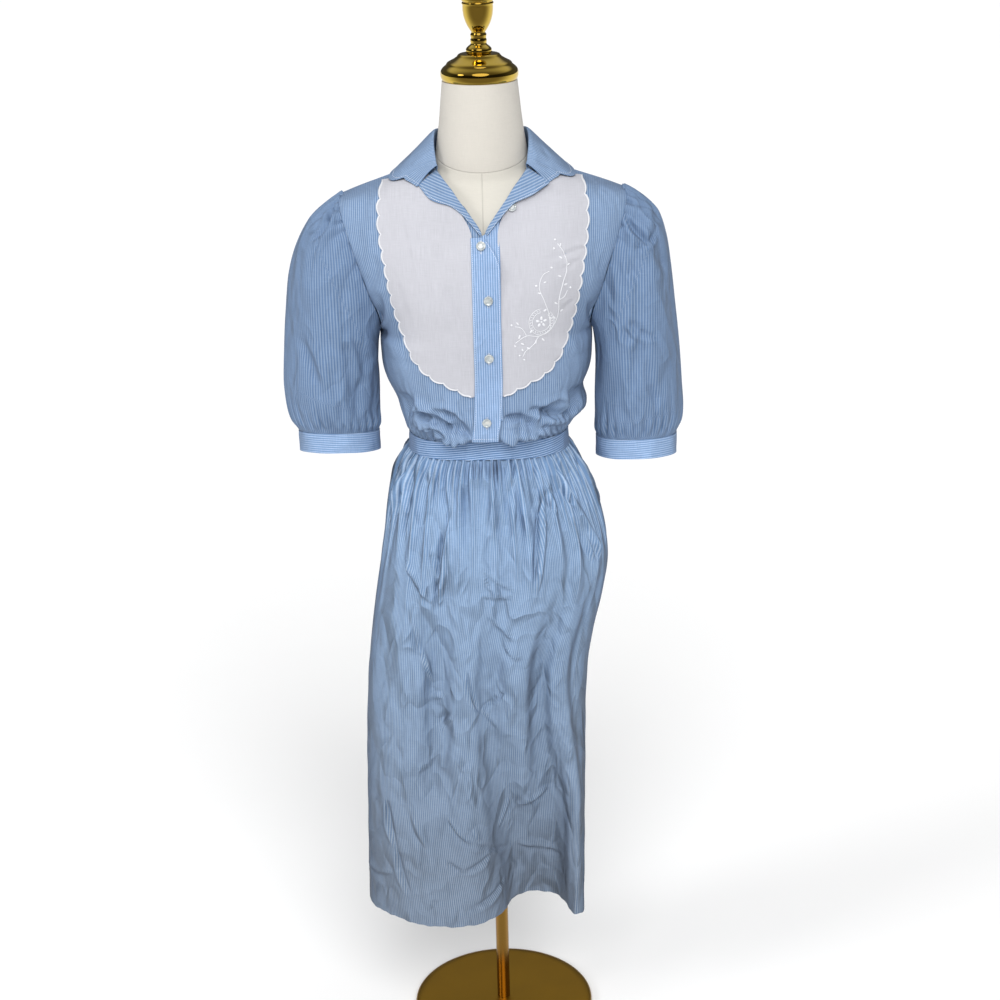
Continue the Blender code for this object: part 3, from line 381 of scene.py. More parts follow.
# The crush amount sets the broad crush bump and also the painted shade on the lower cloth; the shade amount
# sets the painted shade on cloth seen edge on
def stripedCotton(name, ground, stripe, crushAndLowShade=0.35, shade=0.45):
    paint, tree, shader = newMaterial(name, cottonLook["shader"])
    uv = clothUv(tree)
    place = node(tree, "ShaderNodeTexCoord").outputs["Object"]
    worn = placeGroup(tree, crushGroup, place)
    stripes = placeGroup(tree, stripeGroup, uv, Pitch=cottonLook["pitch"], Line=cottonLook["line"])
    weave = placeGroup(tree, weaveGroup, uv, Pitch=0.0005, Slub=0.55)
    # Painted shade: cloth turned away from the view is darkened towards the away tint, by the shade amount
    turnedAway = node(tree, "ShaderNodeLayerWeight", values={"Blend": 0.5}).outputs["Facing"]
    grazing = ramp(tree, turnedAway, 0.25, 0.90)
    lines = node(tree, "ShaderNodeMix", links={0: grazing, 2: stripes.outputs["Mask"]},
                 values={3: 0.4}).outputs[0]
    # Painted shade: the cloth is darkened towards the bottom of the dress, towards the low tint
    lowShade = ramp(tree, node(tree, "ShaderNodeSeparateXYZ", links={0: place}).outputs[2], 0.88, 0.30,
                 kind="LINEAR")
    colour = blend(tree, lines, ground, stripe)
    for share, amount, tint in ((grazing, shade, "away"), (lowShade, crushAndLowShade, "low")):
        darker = blend(tree, 1.0, colour, cottonLook[tint], "MULTIPLY")
        colour = blend(tree, maths(tree, "MULTIPLY", share, amount), colour, darker)
    tree.links.new(tinted(tree, colour, weave.outputs["Tone"]), shader.inputs["Base Color"])
    height = maths(tree, "ADD", weave.outputs["Height"],
                   maths(tree, "MULTIPLY", stripes.outputs["Mask"], 0.4))
    fine = bumpTo(tree, shader, height, 0.45, 0.00012)
    broad = node(tree, "ShaderNodeBump", links={"Height": worn.outputs["Height"]},
                 values={"Strength": crushAndLowShade, "Distance": cottonLook["crush"]})
    tree.links.new(broad.outputs[0], fine.inputs["Normal"])
    return paint


def lawnCotton(name, colour, slub, strength):
    paint, tree, shader = newMaterial(name,
                                      {"Roughness": 0.85, "Sheen Weight": 0.10, "Specular IOR Level": 0.25})
    uv = clothUv(tree)
    weave = placeGroup(tree, weaveGroup, uv, Pitch=0.0006, Slub=slub)
    tree.links.new(tinted(tree, colour, weave.outputs["Tone"]), shader.inputs["Base Color"])
    bumpTo(tree, shader, weave.outputs["Height"], strength, 0.00012)
    return paint


# Thread laid side by side, ribs across the run of the stitch
def satinThread(name, colour, ribs):
    paint, tree, shader = newMaterial(name, {"Roughness": 0.55, "Sheen Weight": 0.15})
    parts = node(tree, "ShaderNodeSeparateXYZ", links={0: clothUv(tree)})
    rib = maths(tree, "SINE", maths(tree, "MULTIPLY", parts.outputs[1], 2 * math.pi / ribs))
    tone = maths(tree, "ADD", maths(tree, "MULTIPLY", rib, 0.035), 1.0)
    tree.links.new(tinted(tree, colour, tone), shader.inputs["Base Color"])
    bumpTo(tree, shader, rib, 0.6, 0.00012)
    return paint


def plainThread(name, colour):
    paint, tree, shader = newMaterial(name, {"Roughness": 0.6})
    place = node(tree, "ShaderNodeTexCoord").outputs["Object"]
    twist = noise(tree, place, 900.0, 2.0)
    tone = maths(tree, "ADD", maths(tree, "MULTIPLY", twist, 0.2), 0.9)
    tree.links.new(tinted(tree, colour, tone), shader.inputs["Base Color"])
    bumpTo(tree, shader, twist, 0.4, 0.0001)
    return paint


# Copies of the one striped cotton, toned per piece to how brightly each part is lit: the sleeve copy is
# darker (painted shade), the button stand and cuff copy is lighter (painted light)
bodyCotton = stripedCotton("stripedCotton", (0.132, 0.220, 0.375), (0.300, 0.385, 0.520))
shadedSleeveCotton = stripedCotton("stripedSleeveCotton", (0.108, 0.182, 0.315), (0.208, 0.280, 0.405),
                             crushAndLowShade=0.6, shade=0.15)
bandCotton = stripedCotton("stripedBandCotton", (0.100, 0.195, 0.380), (0.360, 0.480, 0.670), crushAndLowShade=0.3)
litStandCotton = stripedCotton("stripedStandCotton", (0.170, 0.280, 0.480), (0.360, 0.475, 0.660))
skirtCotton = stripedCotton("stripedSkirtCotton", (0.162, 0.270, 0.450), (0.335, 0.445, 0.605), crushAndLowShade=1.0,
                            shade=0.62)
whiteLawn = lawnCotton("whiteLawn", (0.470, 0.472, 0.512), 0.30, 0.45)
satinWhite = satinThread("satinWhite", (0.68, 0.69, 0.72), 0.0009)
whiteThread = plainThread("whiteThread", (0.80, 0.84, 0.90))
blueThread = plainThread("blueThread", (0.30, 0.43, 0.64))
print("cloth materials ready")


# Bodice

bodice = {
    "wall": 0.0008, "frontGathers": 13, "backGathers": 22, "lobeRight": 0.0020, "lobeLeft": 0.0180,
    "waistFront": 0.9745, "waistSide": 0.9680, "waistBack": 0.9660,
    "tuckEnd": 0.02, "tuckIn": 0.016, "tuckSide": 0.010, "tuckDown": 0.0035,
}
sides = (("right", -1), ("left", 1))
frontEdge = dict(
    v=(0.0, 0.05, 0.12, 0.20, 0.30, 0.40, 0.48, 0.56, 0.64, 0.72, 0.79, 0.84, 0.88, 0.92, 0.955, 0.98, 1.0),
    x=(0, 0, 0, 0, 0, 0, 0, 0, 0, 0, 0, 0.0030, 0.0135, 0.0275, 0.0425, 0.0590, 0.0710),
    y=(-0.0965, -0.108, -0.115, -0.118, -0.121, -0.125, -0.128, -0.1295, -0.129, -0.124, -0.114, -0.1045,
       -0.0965, -0.087, -0.0735, -0.047, -0.002),
    z=(0.9745, 0.986, 1.003, 1.028, 1.062, 1.098, 1.128, 1.160, 1.193, 1.226, 1.254, 1.273, 1.289, 1.307,
       1.326, 1.343, 1.352),
)
frontSide = dict(
    v=(0.0, 0.05, 0.12, 0.20, 0.30, 0.40, 0.48, 0.542, 0.61, 0.688, 0.766, 0.844, 0.917, 0.969, 1.0),
    x=(0.1130, 0.1170, 0.1215, 0.1300, 0.1460, 0.1500, 0.1500, 0.1475, 0.1500, 0.1620, 0.1735, 0.1850,
       0.1945, 0.1975, 0.1925),
    y=(0.000, 0.001, 0.002, 0.003, 0.004, 0.004, 0.004, -0.026, -0.047, -0.060, -0.063, -0.058, -0.044,
       -0.022, -0.002),
    z=(0.9680, 0.979, 0.997, 1.022, 1.056, 1.088, 1.114, 1.124, 1.148, 1.184, 1.222, 1.258, 1.288, 1.306,
       1.3117),
    full=(2.2, 2.3, 2.4, 2.5, 2.6, 2.7, 2.7, 2.6, 2.5, 2.4, 2.3, 2.2, 2.1, 2.0, 2.0),
    turn=(0.999, 0.999, 0.999, 0.999, 0.999, 0.999, 0.995, 0.96, 0.93, 0.92, 0.92, 0.92, 0.92, 0.92, 0.92),
)
backEdge = dict(
    v=(0.0, 0.05, 0.12, 0.20, 0.30, 0.40, 0.48, 0.56, 0.66, 0.76, 0.86, 0.94, 1.0),
    y=(0.088, 0.098, 0.105, 0.108, 0.109, 0.109, 0.110, 0.112, 0.113, 0.110, 0.098, 0.077, 0.056),
    z=(0.9660, 0.978, 0.996, 1.022, 1.058, 1.094, 1.124, 1.154, 1.196, 1.242, 1.292, 1.330, 1.346),
)
backSide = dict(
    v=frontSide["v"],
    x=(0.1130, 0.1170, 0.1215, 0.1300, 0.1460, 0.1500, 0.1500, 0.1490, 0.1535, 0.1640, 0.1740, 0.1845,
       0.1940, 0.1975, 0.1925),
    y=(0.000, 0.001, 0.002, 0.003, 0.004, 0.004, 0.004, 0.034, 0.055, 0.068, 0.071, 0.065, 0.047, 0.022,
       -0.002),
    z=frontSide["z"],
    full=(2.2, 2.3, 2.4, 2.5, 2.6, 2.6, 2.6, 2.5, 2.4, 2.3, 2.2, 2.2, 2.1, 2.0, 2.0),
    turn=frontSide["turn"],
)
# Blouse rolls over the band: place, reach along the waist, how far out and how far down they hang
rolls = dict(
    side=(-1, -1, -1, 1, 1, 1),
    x=(0.090, 0.050, 0.018, 0.030, 0.062, 0.098),
    z=(1.004, 0.992, 0.988, 0.990, 0.994, 1.002),
    reach=(0.022, 0.022, 0.012, 0.016, 0.020, 0.020),
    out=(0.0110, 0.0125, 0.0040, 0.0115, 0.0080, 0.0105),
    drop=(0.0105, 0.0150, 0.0040, 0.0125, 0.0085, 0.0100),
)


def quarter(r, full, turn):
    turn = np.clip(turn, 0.5, 0.9995)
    reach = (1 - np.clip(r * turn, 0, 1) ** full) ** (1 / full)
    return (1 - reach) / (1 - (1 - turn ** full) ** (1 / full))


def lobe(across, v, amount):
    return amount * np.exp(-((v - 0.14) / 0.065) ** 2) * ease((across - 0.60) / 0.40)


def frontSurface(r, v):
    ix, iy, iz = (read(frontEdge, key, v, "v") for key in "xyz")
    ox, oy, oz = (read(frontSide, key, v, "v") for key in "xyz")
    shift = 0.00045 + 0.00035 * ease((v - 0.88) / 0.1)
    iy = iy - np.where(np.asarray(v) > 0.88, shift, 0.0)
    full, turn = read(frontSide, "full", v, "v"), read(frontSide, "turn", v, "v")
    x = ix + (ox - ix) * r
    y = iy + (oy - shift - iy) * quarter(r, full, turn)
    high = ease((v - 0.8) / 0.2)
    z = iz + (oz - iz) * r ** (1.3 - 0.3 * high) + 0.0026 * 4 * r * (1 - r) * high
    y = y - 0.0045 * np.exp(-((x - 0.080) / 0.045) ** 2 - ((z - 1.175) / 0.060) ** 2)
    return np.stack([x, y, z], axis=-1)


def shareAcross(u):
    return np.sin(np.clip(u, 0, 1) * np.pi / 2) ** 0.86


def frontAt(x, z, lift=0.0):  # point of the front under x and z, moved out by lift
    x, z = np.asarray(x, float), np.asarray(z, float)

    def level(v):
        ix, ox = read(frontEdge, "x", v, "v"), read(frontSide, "x", v, "v")
        r = np.clip((x - ix) / (ox - ix), 0, 1)
        return r, frontSurface(r, v)

    low, high = np.zeros(np.broadcast(x, z).shape), np.ones(np.broadcast(x, z).shape)
    for step in range(20):
        middle = (low + high) / 2
        below = level(middle)[1][..., 2] < z
        low, high = np.where(below, middle, low), np.where(below, high, middle)
    v = np.clip((low + high) / 2, 0.0, 0.999)
    r, point = level(v)
    along = frontSurface(np.clip(r + 0.004, 0, 1), v) - frontSurface(np.clip(r - 0.004, 0, 1), v)
    up = frontSurface(r, np.clip(v + 0.004, 0, 1)) - frontSurface(r, np.clip(v - 0.004, 0, 1))
    out = np.cross(along, up)
    out /= np.linalg.norm(out, axis=-1, keepdims=True)
    return point + out * np.asarray(lift)[..., None]


def mirrored(points, side):
    return points * np.array([side, 1.0, 1.0])


def bodiceGathers(across, v, count, seed):  # across 0 at the centre, 1 at the side
    phase = 2 * np.pi * count * across + uneven(across, seed, 1.5)
    reach = 0.15 + 0.06 * uneven(across * 3, seed + 1)
    return pleatProfile(phase) * np.exp(-(v / reach) ** 1.6) * ease((v + 0.02) / 0.07)


def frontShape(side):
    def shape(u, v):
        r = shareAcross(u)
        points = frontSurface(r, v)
        x, z = points[:, 0].copy(), points[:, 2].copy()
        points[:, 0] += lobe(u, v, bodice["lobeRight"] if side < 0 else bodice["lobeLeft"])
        for where, rx, rz, reach, out, drop in rows(rolls, "side x z reach out drop"):
            if where == side:
                near = np.exp(-((x - rx) / reach) ** 2) * np.exp(-((z - rz) / 0.011) ** 2) * ease(v / 0.05)
                points[:, 1] -= out * near
                points[:, 2] -= drop * near
        points[:, 0] = np.maximum(points[:, 0], 0.0002)
        tuck = 1 - ease(v / bodice["tuckEnd"])  # the gathered edge runs down behind the waistband
        points[:, 1] *= 1 - bodice["tuckIn"] * tuck
        points[:, 2] -= bodice["tuckDown"] * tuck
        return mirrored(points, side)
    return shape


frontCreases = {
    -1: dict(a0=(0.120, 0.128, 0.142, 0.106, 0.122, 0.150, 0.104, 0.078, 0.060, 0.092, 0.040),
             b0=(1.110, 1.150, 1.180, 1.014, 1.050, 1.240, 1.034, 1.026, 1.006, 0.994, 1.014),
             a1=(0.113, 0.148, 0.154, 0.050, 0.108, 0.160, 0.086, 0.034, 0.024, 0.060, 0.026),
             b1=(1.004, 1.112, 1.126, 0.998, 1.000, 1.190, 1.002, 1.004, 0.990, 0.986, 0.996),
             deep=(0.0055, 0.0026, 0.0030, 0.0060, 0.0030, 0.0012, 0.0024, 0.0045, 0.0050, 0.0040, 0.0030),
             wide=(0.0090, 0.006, 0.006, 0.0065, 0.006, 0.012, 0.006, 0.006, 0.0055, 0.005, 0.005),
             bend=(0.005, 0.002, 0.002, 0.006, 0.0, 0.004, 0.0, 0.004, 0.003, 0.002, 0.001)),
    1: dict(a0=(0.124, 0.104, 0.142, 0.126, 0.022, 0.058, 0.155, 0.030, 0.084, 0.070, 0.110),
            b0=(1.100, 1.030, 1.166, 1.066, 1.014, 1.024, 1.250, 0.998, 1.012, 0.998, 1.004),
            a1=(0.114, 0.070, 0.152, 0.112, 0.066, 0.100, 0.165, 0.072, 0.112, 0.104, 0.128),
            b1=(1.000, 1.002, 1.118, 1.006, 0.998, 1.004, 1.200, 0.990, 1.000, 0.990, 1.020),
            deep=(0.0055, 0.0036, 0.0026, 0.0030, 0.0060, 0.0045, 0.0012, 0.0046, 0.0040, 0.0036, 0.0030),
            wide=(0.009, 0.007, 0.006, 0.006, 0.0065, 0.006, 0.012, 0.0055, 0.006, 0.005, 0.006),
            bend=(-0.005, 0.003, 0.0, 0.0, -0.005, -0.004, 0.003, -0.002, -0.003, 0.002, 0.002)),
}


def frontRelief(side):
    def relief(u, v, net):
        x, z = np.abs(net[..., 0]), net[..., 2]
        clear = ease((x - 0.018) / 0.015) * ease((1 - u) / 0.08)
        height = 0.0042 * bodiceGathers(u, v, bodice["frontGathers"], 0.7 if side < 0 else 2.3) * clear
        underBib = 1 - ease((0.150 - x) / 0.02) * ease((z - 1.03) / 0.015)
        seam = 0.0016 * np.exp(-((1 - u) / 0.025) ** 2) * ease((v - 0.47) / 0.04)
        return height - seam + 2.1 * creaseHeight(x, z, frontCreases[side]) * ease((1 - u) / 0.05) * underBib
    return relief


def levelRun(net):  # distance along each row as seen from above, so that stripes hang plumb
    steps = np.hypot(*np.moveaxis(np.diff(net[..., :2], axis=1), 2, 0))
    return np.concatenate([np.zeros((len(net), 1)), np.cumsum(steps, axis=1)], axis=1)


def plumb(net, s, t):  # warp hanging straight down
    return net[..., 0], net[..., 2]


def frontGrain(side):  # plumb in front, aslant on the underarm part
    def grain(net, s, t):
        run, z = np.abs(net[:, :1, 0]) + levelRun(net), net[..., 2]
        tilt = 0.85 * ease((run - 0.105) / 0.045) * ease((1.175 - z) / 0.07)
        return side * (run - tilt * (z - 1.10)), z
    return grain


frontParts = []
for word, side in sides:
    piece = clothGrid("front" + word.capitalize(), 84, 104, frontShape(side), bodyCotton, bodice["wall"],
                      flip=side < 0, relief=frontRelief(side), across=frontGrain(side))
    frontParts.append(finish(piece, "striped_blue_cotton", "bodice_front_" + word))


# Neck and shoulder seam along the back's top edge
backTop = {
    "neckShare": 0.42, "neckX": 0.0712, "neckZ": 1.352, "neckDip": 0.006, "neckDeep": 0.0570,
    "seamY": -0.0010, "shoulderRun": 0.1213, "shoulderDrop": 0.0403, "shoulderCrown": 0.0104,
    "blendFrom": 0.62,
}


def backSurface(u, v):
    side = np.where(u < 0.5, -1.0, 1.0)
    across = np.abs(2 * u - 1)
    r = shareAcross(across)
    cy, cz = read(backEdge, "y", v, "v"), read(backEdge, "z", v, "v")
    ox, oy, oz, full, turn = (read(backSide, key, v, "v") for key in ("x", "y", "z", "full", "turn"))
    oy = oy + 0.00045
    x = ox * r + lobe(across, v, np.where(u < 0.5, bodice["lobeRight"], bodice["lobeLeft"]))
    y = cy + (oy - cy) * quarter(r, full, turn)
    z = cz + (oz - cz) * r ** 1.5
    neck, seamY = backTop["neckShare"], backTop["seamY"]
    inward = np.clip(across / neck, 0, 1) * np.pi / 2
    out = np.clip((across - neck) / (1 - neck), 0, 1)
    topX = np.where(across < neck, backTop["neckX"] * np.sin(inward),
                    backTop["neckX"] + backTop["shoulderRun"] * out)
    topY = np.where(across < neck, seamY + backTop["neckDeep"] * np.cos(inward), seamY)
    topZ = np.where(across < neck, backTop["neckZ"] - backTop["neckDip"] * np.cos(inward),
                    backTop["neckZ"] - backTop["shoulderDrop"] * out
                    + backTop["shoulderCrown"] * out * (1 - out))
    blendUp = np.clip((v - backTop["blendFrom"]) / (1 - backTop["blendFrom"]), 0, 1) ** 2
    endFull, endTurn = backSide["full"][-1], backSide["turn"][-1]
    endX, endZ, midY, midZ = backSide["x"][-1], backSide["z"][-1], backEdge["y"][-1], backEdge["z"][-1]
    x = x + (topX - endX * r) * blendUp
    y = y + (topY - (midY + (seamY - midY) * quarter(r, endFull, endTurn))) * blendUp
    z = z + (topZ - (midZ + (endZ - midZ) * r ** 1.5)) * blendUp
    tuck = 1 - ease(v / bodice["tuckEnd"])
    return np.stack([side * x * (1 - bodice["tuckSide"] * tuck), y * (1 - bodice["tuckIn"] * tuck),
                     z - bodice["tuckDown"] * tuck], axis=-1)


backCreases = dict(
    a0=(-0.060, 0.040, -0.110, 0.105, -0.020, 0.060, -0.080, 0.130, -0.135),
    b0=(1.030, 1.022, 1.080, 1.070, 1.180, 1.240, 1.230, 1.160, 1.165),
    a1=(-0.020, 0.085, -0.095, 0.098, 0.030, 0.100, -0.120, 0.148, -0.150),
    b1=(0.996, 0.994, 1.000, 0.996, 1.165, 1.215, 1.205, 1.118, 1.120),
    deep=(0.0022, 0.0020, 0.0026, 0.0026, 0.0009, 0.0009, 0.0009, 0.0014, 0.0014),
    wide=(0.007, 0.008, 0.006, 0.006, 0.009, 0.010, 0.009, 0.006, 0.006),
    bend=(0.004, -0.004, 0.003, -0.003, 0.003, 0.0, 0.002, 0, 0),
)


def backRelief(u, v, net):
    across = np.abs(2 * u - 1)
    edge = ease((1 - across) / 0.06) * ease((1 - v) / 0.04)
    height = 0.0032 * bodiceGathers(u, v, bodice["backGathers"], 1.1) * ease((1 - across) / 0.08)
    roll = (0.0030 * np.exp(-((v - 0.10) / 0.035) ** 2) * (0.6 + 0.4 * uneven(u * 2, 0.9))
            * ease((1 - across) / 0.12))
    return height + roll + creaseHeight(net[..., 0], net[..., 2], backCreases) * edge


backPart = clothGrid("back", 168, 96, backSurface, bodyCotton, bodice["wall"], flip=True, relief=backRelief,
                     across=lambda net, s, t: (levelRun(net) - levelRun(net)[:, 84:85], net[..., 2]))
finish(backPart, "striped_blue_cotton", "bodice_back")
print("bodice made")


# Bibs, their satin edge and the embroidery

bib = {"wall": 0.0006, "lift": 0.0021, "scallops": 16, "depth": 0.0038, "rim": 0.0024}
bibEdge = dict(
    s=(0.0, 0.10, 0.20, 0.31, 0.42, 0.53, 0.62, 0.72, 0.80, 0.90, 1.0),
    x=(0.1370, 0.1420, 0.1405, 0.1350, 0.1290, 0.1215, 0.1130, 0.1000, 0.0830, 0.0530, 0.0230),
    z=(1.3300, 1.3020, 1.2650, 1.2300, 1.1950, 1.1600, 1.1320, 1.1000, 1.0790, 1.0620, 1.0470),
)
bibInner = dict(
    s=bibEdge["s"],
    x=(0.0760, 0.0520, 0.0345, 0.0230, 0.0230, 0.0230, 0.0230, 0.0230, 0.0230, 0.0230, 0.0225),
    z=(1.3440, 1.3260, 1.3060, 1.2800, 1.2400, 1.2000, 1.1660, 1.1300, 1.1040, 1.0760, 1.0490),
)
bibCreases = {
    -1: dict(a0=(0.110, 0.088, 0.060, 0.046, 0.120), b0=(1.290, 1.270, 1.215, 1.190, 1.215),
             a1=(0.098, 0.076, 0.034, 0.030, 0.104), b1=(1.215, 1.160, 1.150, 1.128, 1.150),
             deep=(0.0006, 0.0005, 0.0007, 0.0006, 0.0004), wide=(0.005, 0.006, 0.005, 0.004, 0.006),
             bend=(0.002, 0.002, 0.0, 0.0, 0.0)),
    1: dict(a0=(0.140, 0.086, 0.128, 0.122, 0.034, 0.100), b0=(1.246, 1.236, 1.232, 1.178, 1.185, 1.085),
            a1=(0.106, 0.116, 0.104, 0.098, 0.030, 0.092), b1=(1.240, 1.243, 1.222, 1.160, 1.140, 1.120),
            deep=(0.0009, 0.0007, 0.0008, 0.0008, 0.0006, 0.0005),
            wide=(0.0035, 0.0035, 0.0035, 0.004, 0.004, 0.004),
            bend=(0.001, 0.001, -0.001, 0.001, 0.0, 0.0)),
}


def bibOutline(v, extra=0.0):
    x, z = read(bibEdge, "x", v, "s"), read(bibEdge, "z", v, "s")
    ahead, behind = np.clip(v + 0.01, 0, 1), np.clip(v - 0.01, 0, 1)
    dx = read(bibEdge, "x", ahead, "s") - read(bibEdge, "x", behind, "s")
    dz = read(bibEdge, "z", ahead, "s") - read(bibEdge, "z", behind, "s")
    length = np.hypot(dx, dz)
    bump = bib["depth"] * (np.abs(np.sin(np.pi * bib["scallops"] * v)) ** 0.7 - 0.5)
    bump = bump * ease(v / 0.02) * ease((1 - v) / 0.03) + extra
    return x - dz / length * bump, z + dx / length * bump


def bibLift(x, z, side):
    soft = 0.0006 * np.sin(95 * x + 2.1 * side + 9 * z) * np.sin(31 * z + 20 * x) * ease((x - 0.03) / 0.02)
    return bib["lift"] + soft + 1.7 * creaseHeight(x, z, bibCreases[side])


def bibShape(side):
    def shape(u, v):
        ix, iz = read(bibInner, "x", v, "s"), read(bibInner, "z", v, "s")
        ix = ix - (0.0070 if side < 0 else 0.0035) * ease((v - 0.25) / 0.12)  # runs in under the button stand
        ox, oz = bibOutline(v)
        reach = u + 0.10 * np.sin(np.pi * u)
        x, z = ix + (ox - ix) * reach, iz + (oz - iz) * reach
        return mirrored(frontAt(x, z, bibLift(x, z, side)), side)
    return shape


def rimShape(side):
    def shape(u, v):
        x, z = bibOutline(v, -bib["rim"] * (1 - u) + 0.0003)
        lift = bib["lift"] + 0.0001 + 0.0007 * np.sin(np.pi * np.clip(u, 0, 1)) ** 0.6
        lift = np.where(u > 0.999, bib["lift"] - 0.0009, lift)
        return mirrored(frontAt(x, z, lift), side)
    return shape


bibParts, rimParts = [], []
for word, side in sides:
    piece = clothGrid("bib" + word.capitalize(), 34, 176, bibShape(side), whiteLawn, bib["wall"],
                      flip=side > 0, across=plumb)
    bibParts.append(finish(piece, "white_cotton", "bib_" + word))
    rim = clothGrid("bibRim" + word.capitalize(), 7, 512, rimShape(side), satinWhite, 0, flip=side > 0)
    rimParts.append(finish(rim, "white_cotton"))


# Generic vine on the wearer's left bib: stems, leaves, berries and an eyelet wreath, in x and z

vine = {
    "stems": [
        [(0.046, 1.108), (0.062, 1.118), (0.078, 1.116), (0.094, 1.124), (0.104, 1.142),
         (0.106, 1.164), (0.112, 1.186), (0.118, 1.206), (0.114, 1.226), (0.106, 1.238)],
        [(0.094, 1.124), (0.092, 1.146), (0.086, 1.166), (0.080, 1.184), (0.086, 1.200), (0.094, 1.204)],
        [(0.062, 1.118), (0.054, 1.130), (0.046, 1.132)],
        [(0.078, 1.116), (0.070, 1.104), (0.060, 1.096), (0.056, 1.088)],
        [(0.106, 1.164), (0.114, 1.168), (0.118, 1.176)],
    ],
    "leaves": dict(
        x=(0.052, 0.056, 0.068, 0.084, 0.099, 0.110, 0.102, 0.116, 0.108, 0.120, 0.110, 0.087, 0.094,
           0.080, 0.088, 0.050, 0.064, 0.056, 0.110, 0.074),
        z=(1.117, 1.107, 1.124, 1.110, 1.140, 1.148, 1.160, 1.184, 1.196, 1.210, 1.220, 1.152, 1.140,
           1.176, 1.190, 1.136, 1.100, 1.098, 1.236, 1.108),
        angle=(1.2, -0.5, 1.0, -0.9, 2.4, 0.5, 2.6, 0.4, 2.6, 0.6, 2.5, 0.5, 2.6, 2.7, 0.3, 2.2, 2.6, -1.2,
               1.3, -1.6),
        long=(0.0066, 0.0062, 0.0066, 0.0064, 0.0066, 0.0062, 0.0062, 0.0064, 0.0060, 0.0058, 0.0056,
              0.0060, 0.0060, 0.0056, 0.0052, 0.0054, 0.0060, 0.0056, 0.0052, 0.0056),
    ),
    "berries": dict(x=(0.046, 0.042, 0.122, 0.103, 0.097, 0.058, 0.052, 0.076, 0.101),
                    z=(1.104, 1.134, 1.179, 1.243, 1.208, 1.084, 1.090, 1.186, 1.232)),
    "moveX": -0.007, "moveZ": 0.017,
    "stemR": 0.00055, "leafWide": 0.42, "leafHigh": 0.0006, "berry": 0.0032, "berryHigh": 0.0008,
    "wreathAt": (0.082, 1.136), "wreathR": 0.0145, "wreathTall": 1.1, "wreathCords": (0.84, 1.16),
    "cordR": 0.00045,
    "bars": 26, "barGap": (0.9, 1.5), "bar": (0.0036, 0.0012, 0.0005),
    "petals": 5, "petalAt": 0.0052, "petal": (0.0062, 0.0036, 0.0007), "centre": (0.0030, 0.0030, 0.0009),
}


def onBib(x, z, lift):
    x, z = np.asarray(x, float) + vine["moveX"], np.asarray(z, float) + vine["moveZ"]
    return frontAt(x, z, bibLift(x, z, 1) + lift)


def splinePoints(controls, spacing=0.0008):
    controls = np.array(controls)
    run = runAlong(controls)
    at = np.linspace(0, run[-1], max(4, int(run[-1] / spacing)))
    return np.stack([smooth(run, controls[:, k], at) for k in range(controls.shape[1])], axis=-1)


def addRope(bm, points, radius, around=6, taper=True, flatten=0.7):  # closed tube along points
    count = len(points)
    rings = []
    for k, point in enumerate(points):
        ahead = points[min(k + 1, count - 1)] - points[max(k - 1, 0)]
        ahead = Vector(ahead).normalized()
        sideways = ahead.cross(Vector((0, -1, 0))).normalized()
        lift = sideways.cross(ahead).normalized()
        size = radius * (min(1.0, 0.45 + 0.35 * min(k, count - 1 - k)) if taper else 1.0)
        ring = []
        for step in range(around):
            angle = 2 * math.pi * step / around
            offset = sideways * math.cos(angle) * size + lift * math.sin(angle) * size * flatten
            ring.append(bm.verts.new(Vector(point) + offset))
        rings.append(ring)
    for one, other in zip(rings, rings[1:]):
        for step in range(around):
            nextStep = (step + 1) % around
            bm.faces.new((one[step], one[nextStep], other[nextStep], other[step]))
    bm.faces.new(rings[0][::-1])
    bm.faces.new(rings[-1])


def addPad(bm, place, axis, normal, long, wide, high, segments=8):  # small domed satin pad
    axis, normal = Vector(axis).normalized(), Vector(normal).normalized()
    sideways = normal.cross(axis).normalized()
    turnTo = Matrix((axis * long / 2, sideways * wide / 2, normal * high)).transposed().to_4x4()
    turnTo.translation = Vector(place)
    bmesh.ops.create_uvsphere(bm, u_segments=segments, v_segments=5, radius=1.0, matrix=turnTo)


def stitchPad(x, z, angle, size, segments=8, lift=0.0002):  # satin pad on the bib, pointing along angle
    near = onBib([x, x + 0.001 * math.cos(angle)], [z, z + 0.001 * math.sin(angle)], lift)
    low, high = onBib([x], [z], 0.0)[0], onBib([x], [z], 0.001)[0]
    addPad(embroidery, near[0], near[1] - near[0], high - low, *size, segments)


def roundPad(x, z, size, lift=0.0002):
    low, high = onBib([x], [z], 0.0)[0], onBib([x], [z], 0.001)[0]
    addPad(embroidery, onBib([x], [z], lift)[0], (1, 0, 0), high - low, *size)


embroidery = bmesh.new()
for stem in vine["stems"]:
    flatRun = splinePoints(stem)
    addRope(embroidery, onBib(flatRun[:, 0], flatRun[:, 1], 0.0003), vine["stemR"])
for x, z, angle, long in rows(vine["leaves"], "x z angle long"):
    stitchPad(x, z, angle, (long, long * vine["leafWide"], vine["leafHigh"]))
for x, z in rows(vine["berries"], "x z"):
    roundPad(x, z, (vine["berry"], vine["berry"], vine["berryHigh"]))
cx, cz = vine["wreathAt"]
wreathX, wreathZ = vine["wreathR"], vine["wreathR"] * vine["wreathTall"]
for k in range(vine["bars"]):  # open ring of slanted satin bars between two cords
    angle = 2 * math.pi * k / vine["bars"]
    if vine["barGap"][0] < angle < vine["barGap"][1]:
        continue
    barSlant = angle + 0.5
    stitchPad(cx + wreathX * math.cos(angle), cz + wreathZ * math.sin(angle), barSlant, vine["bar"], 6)
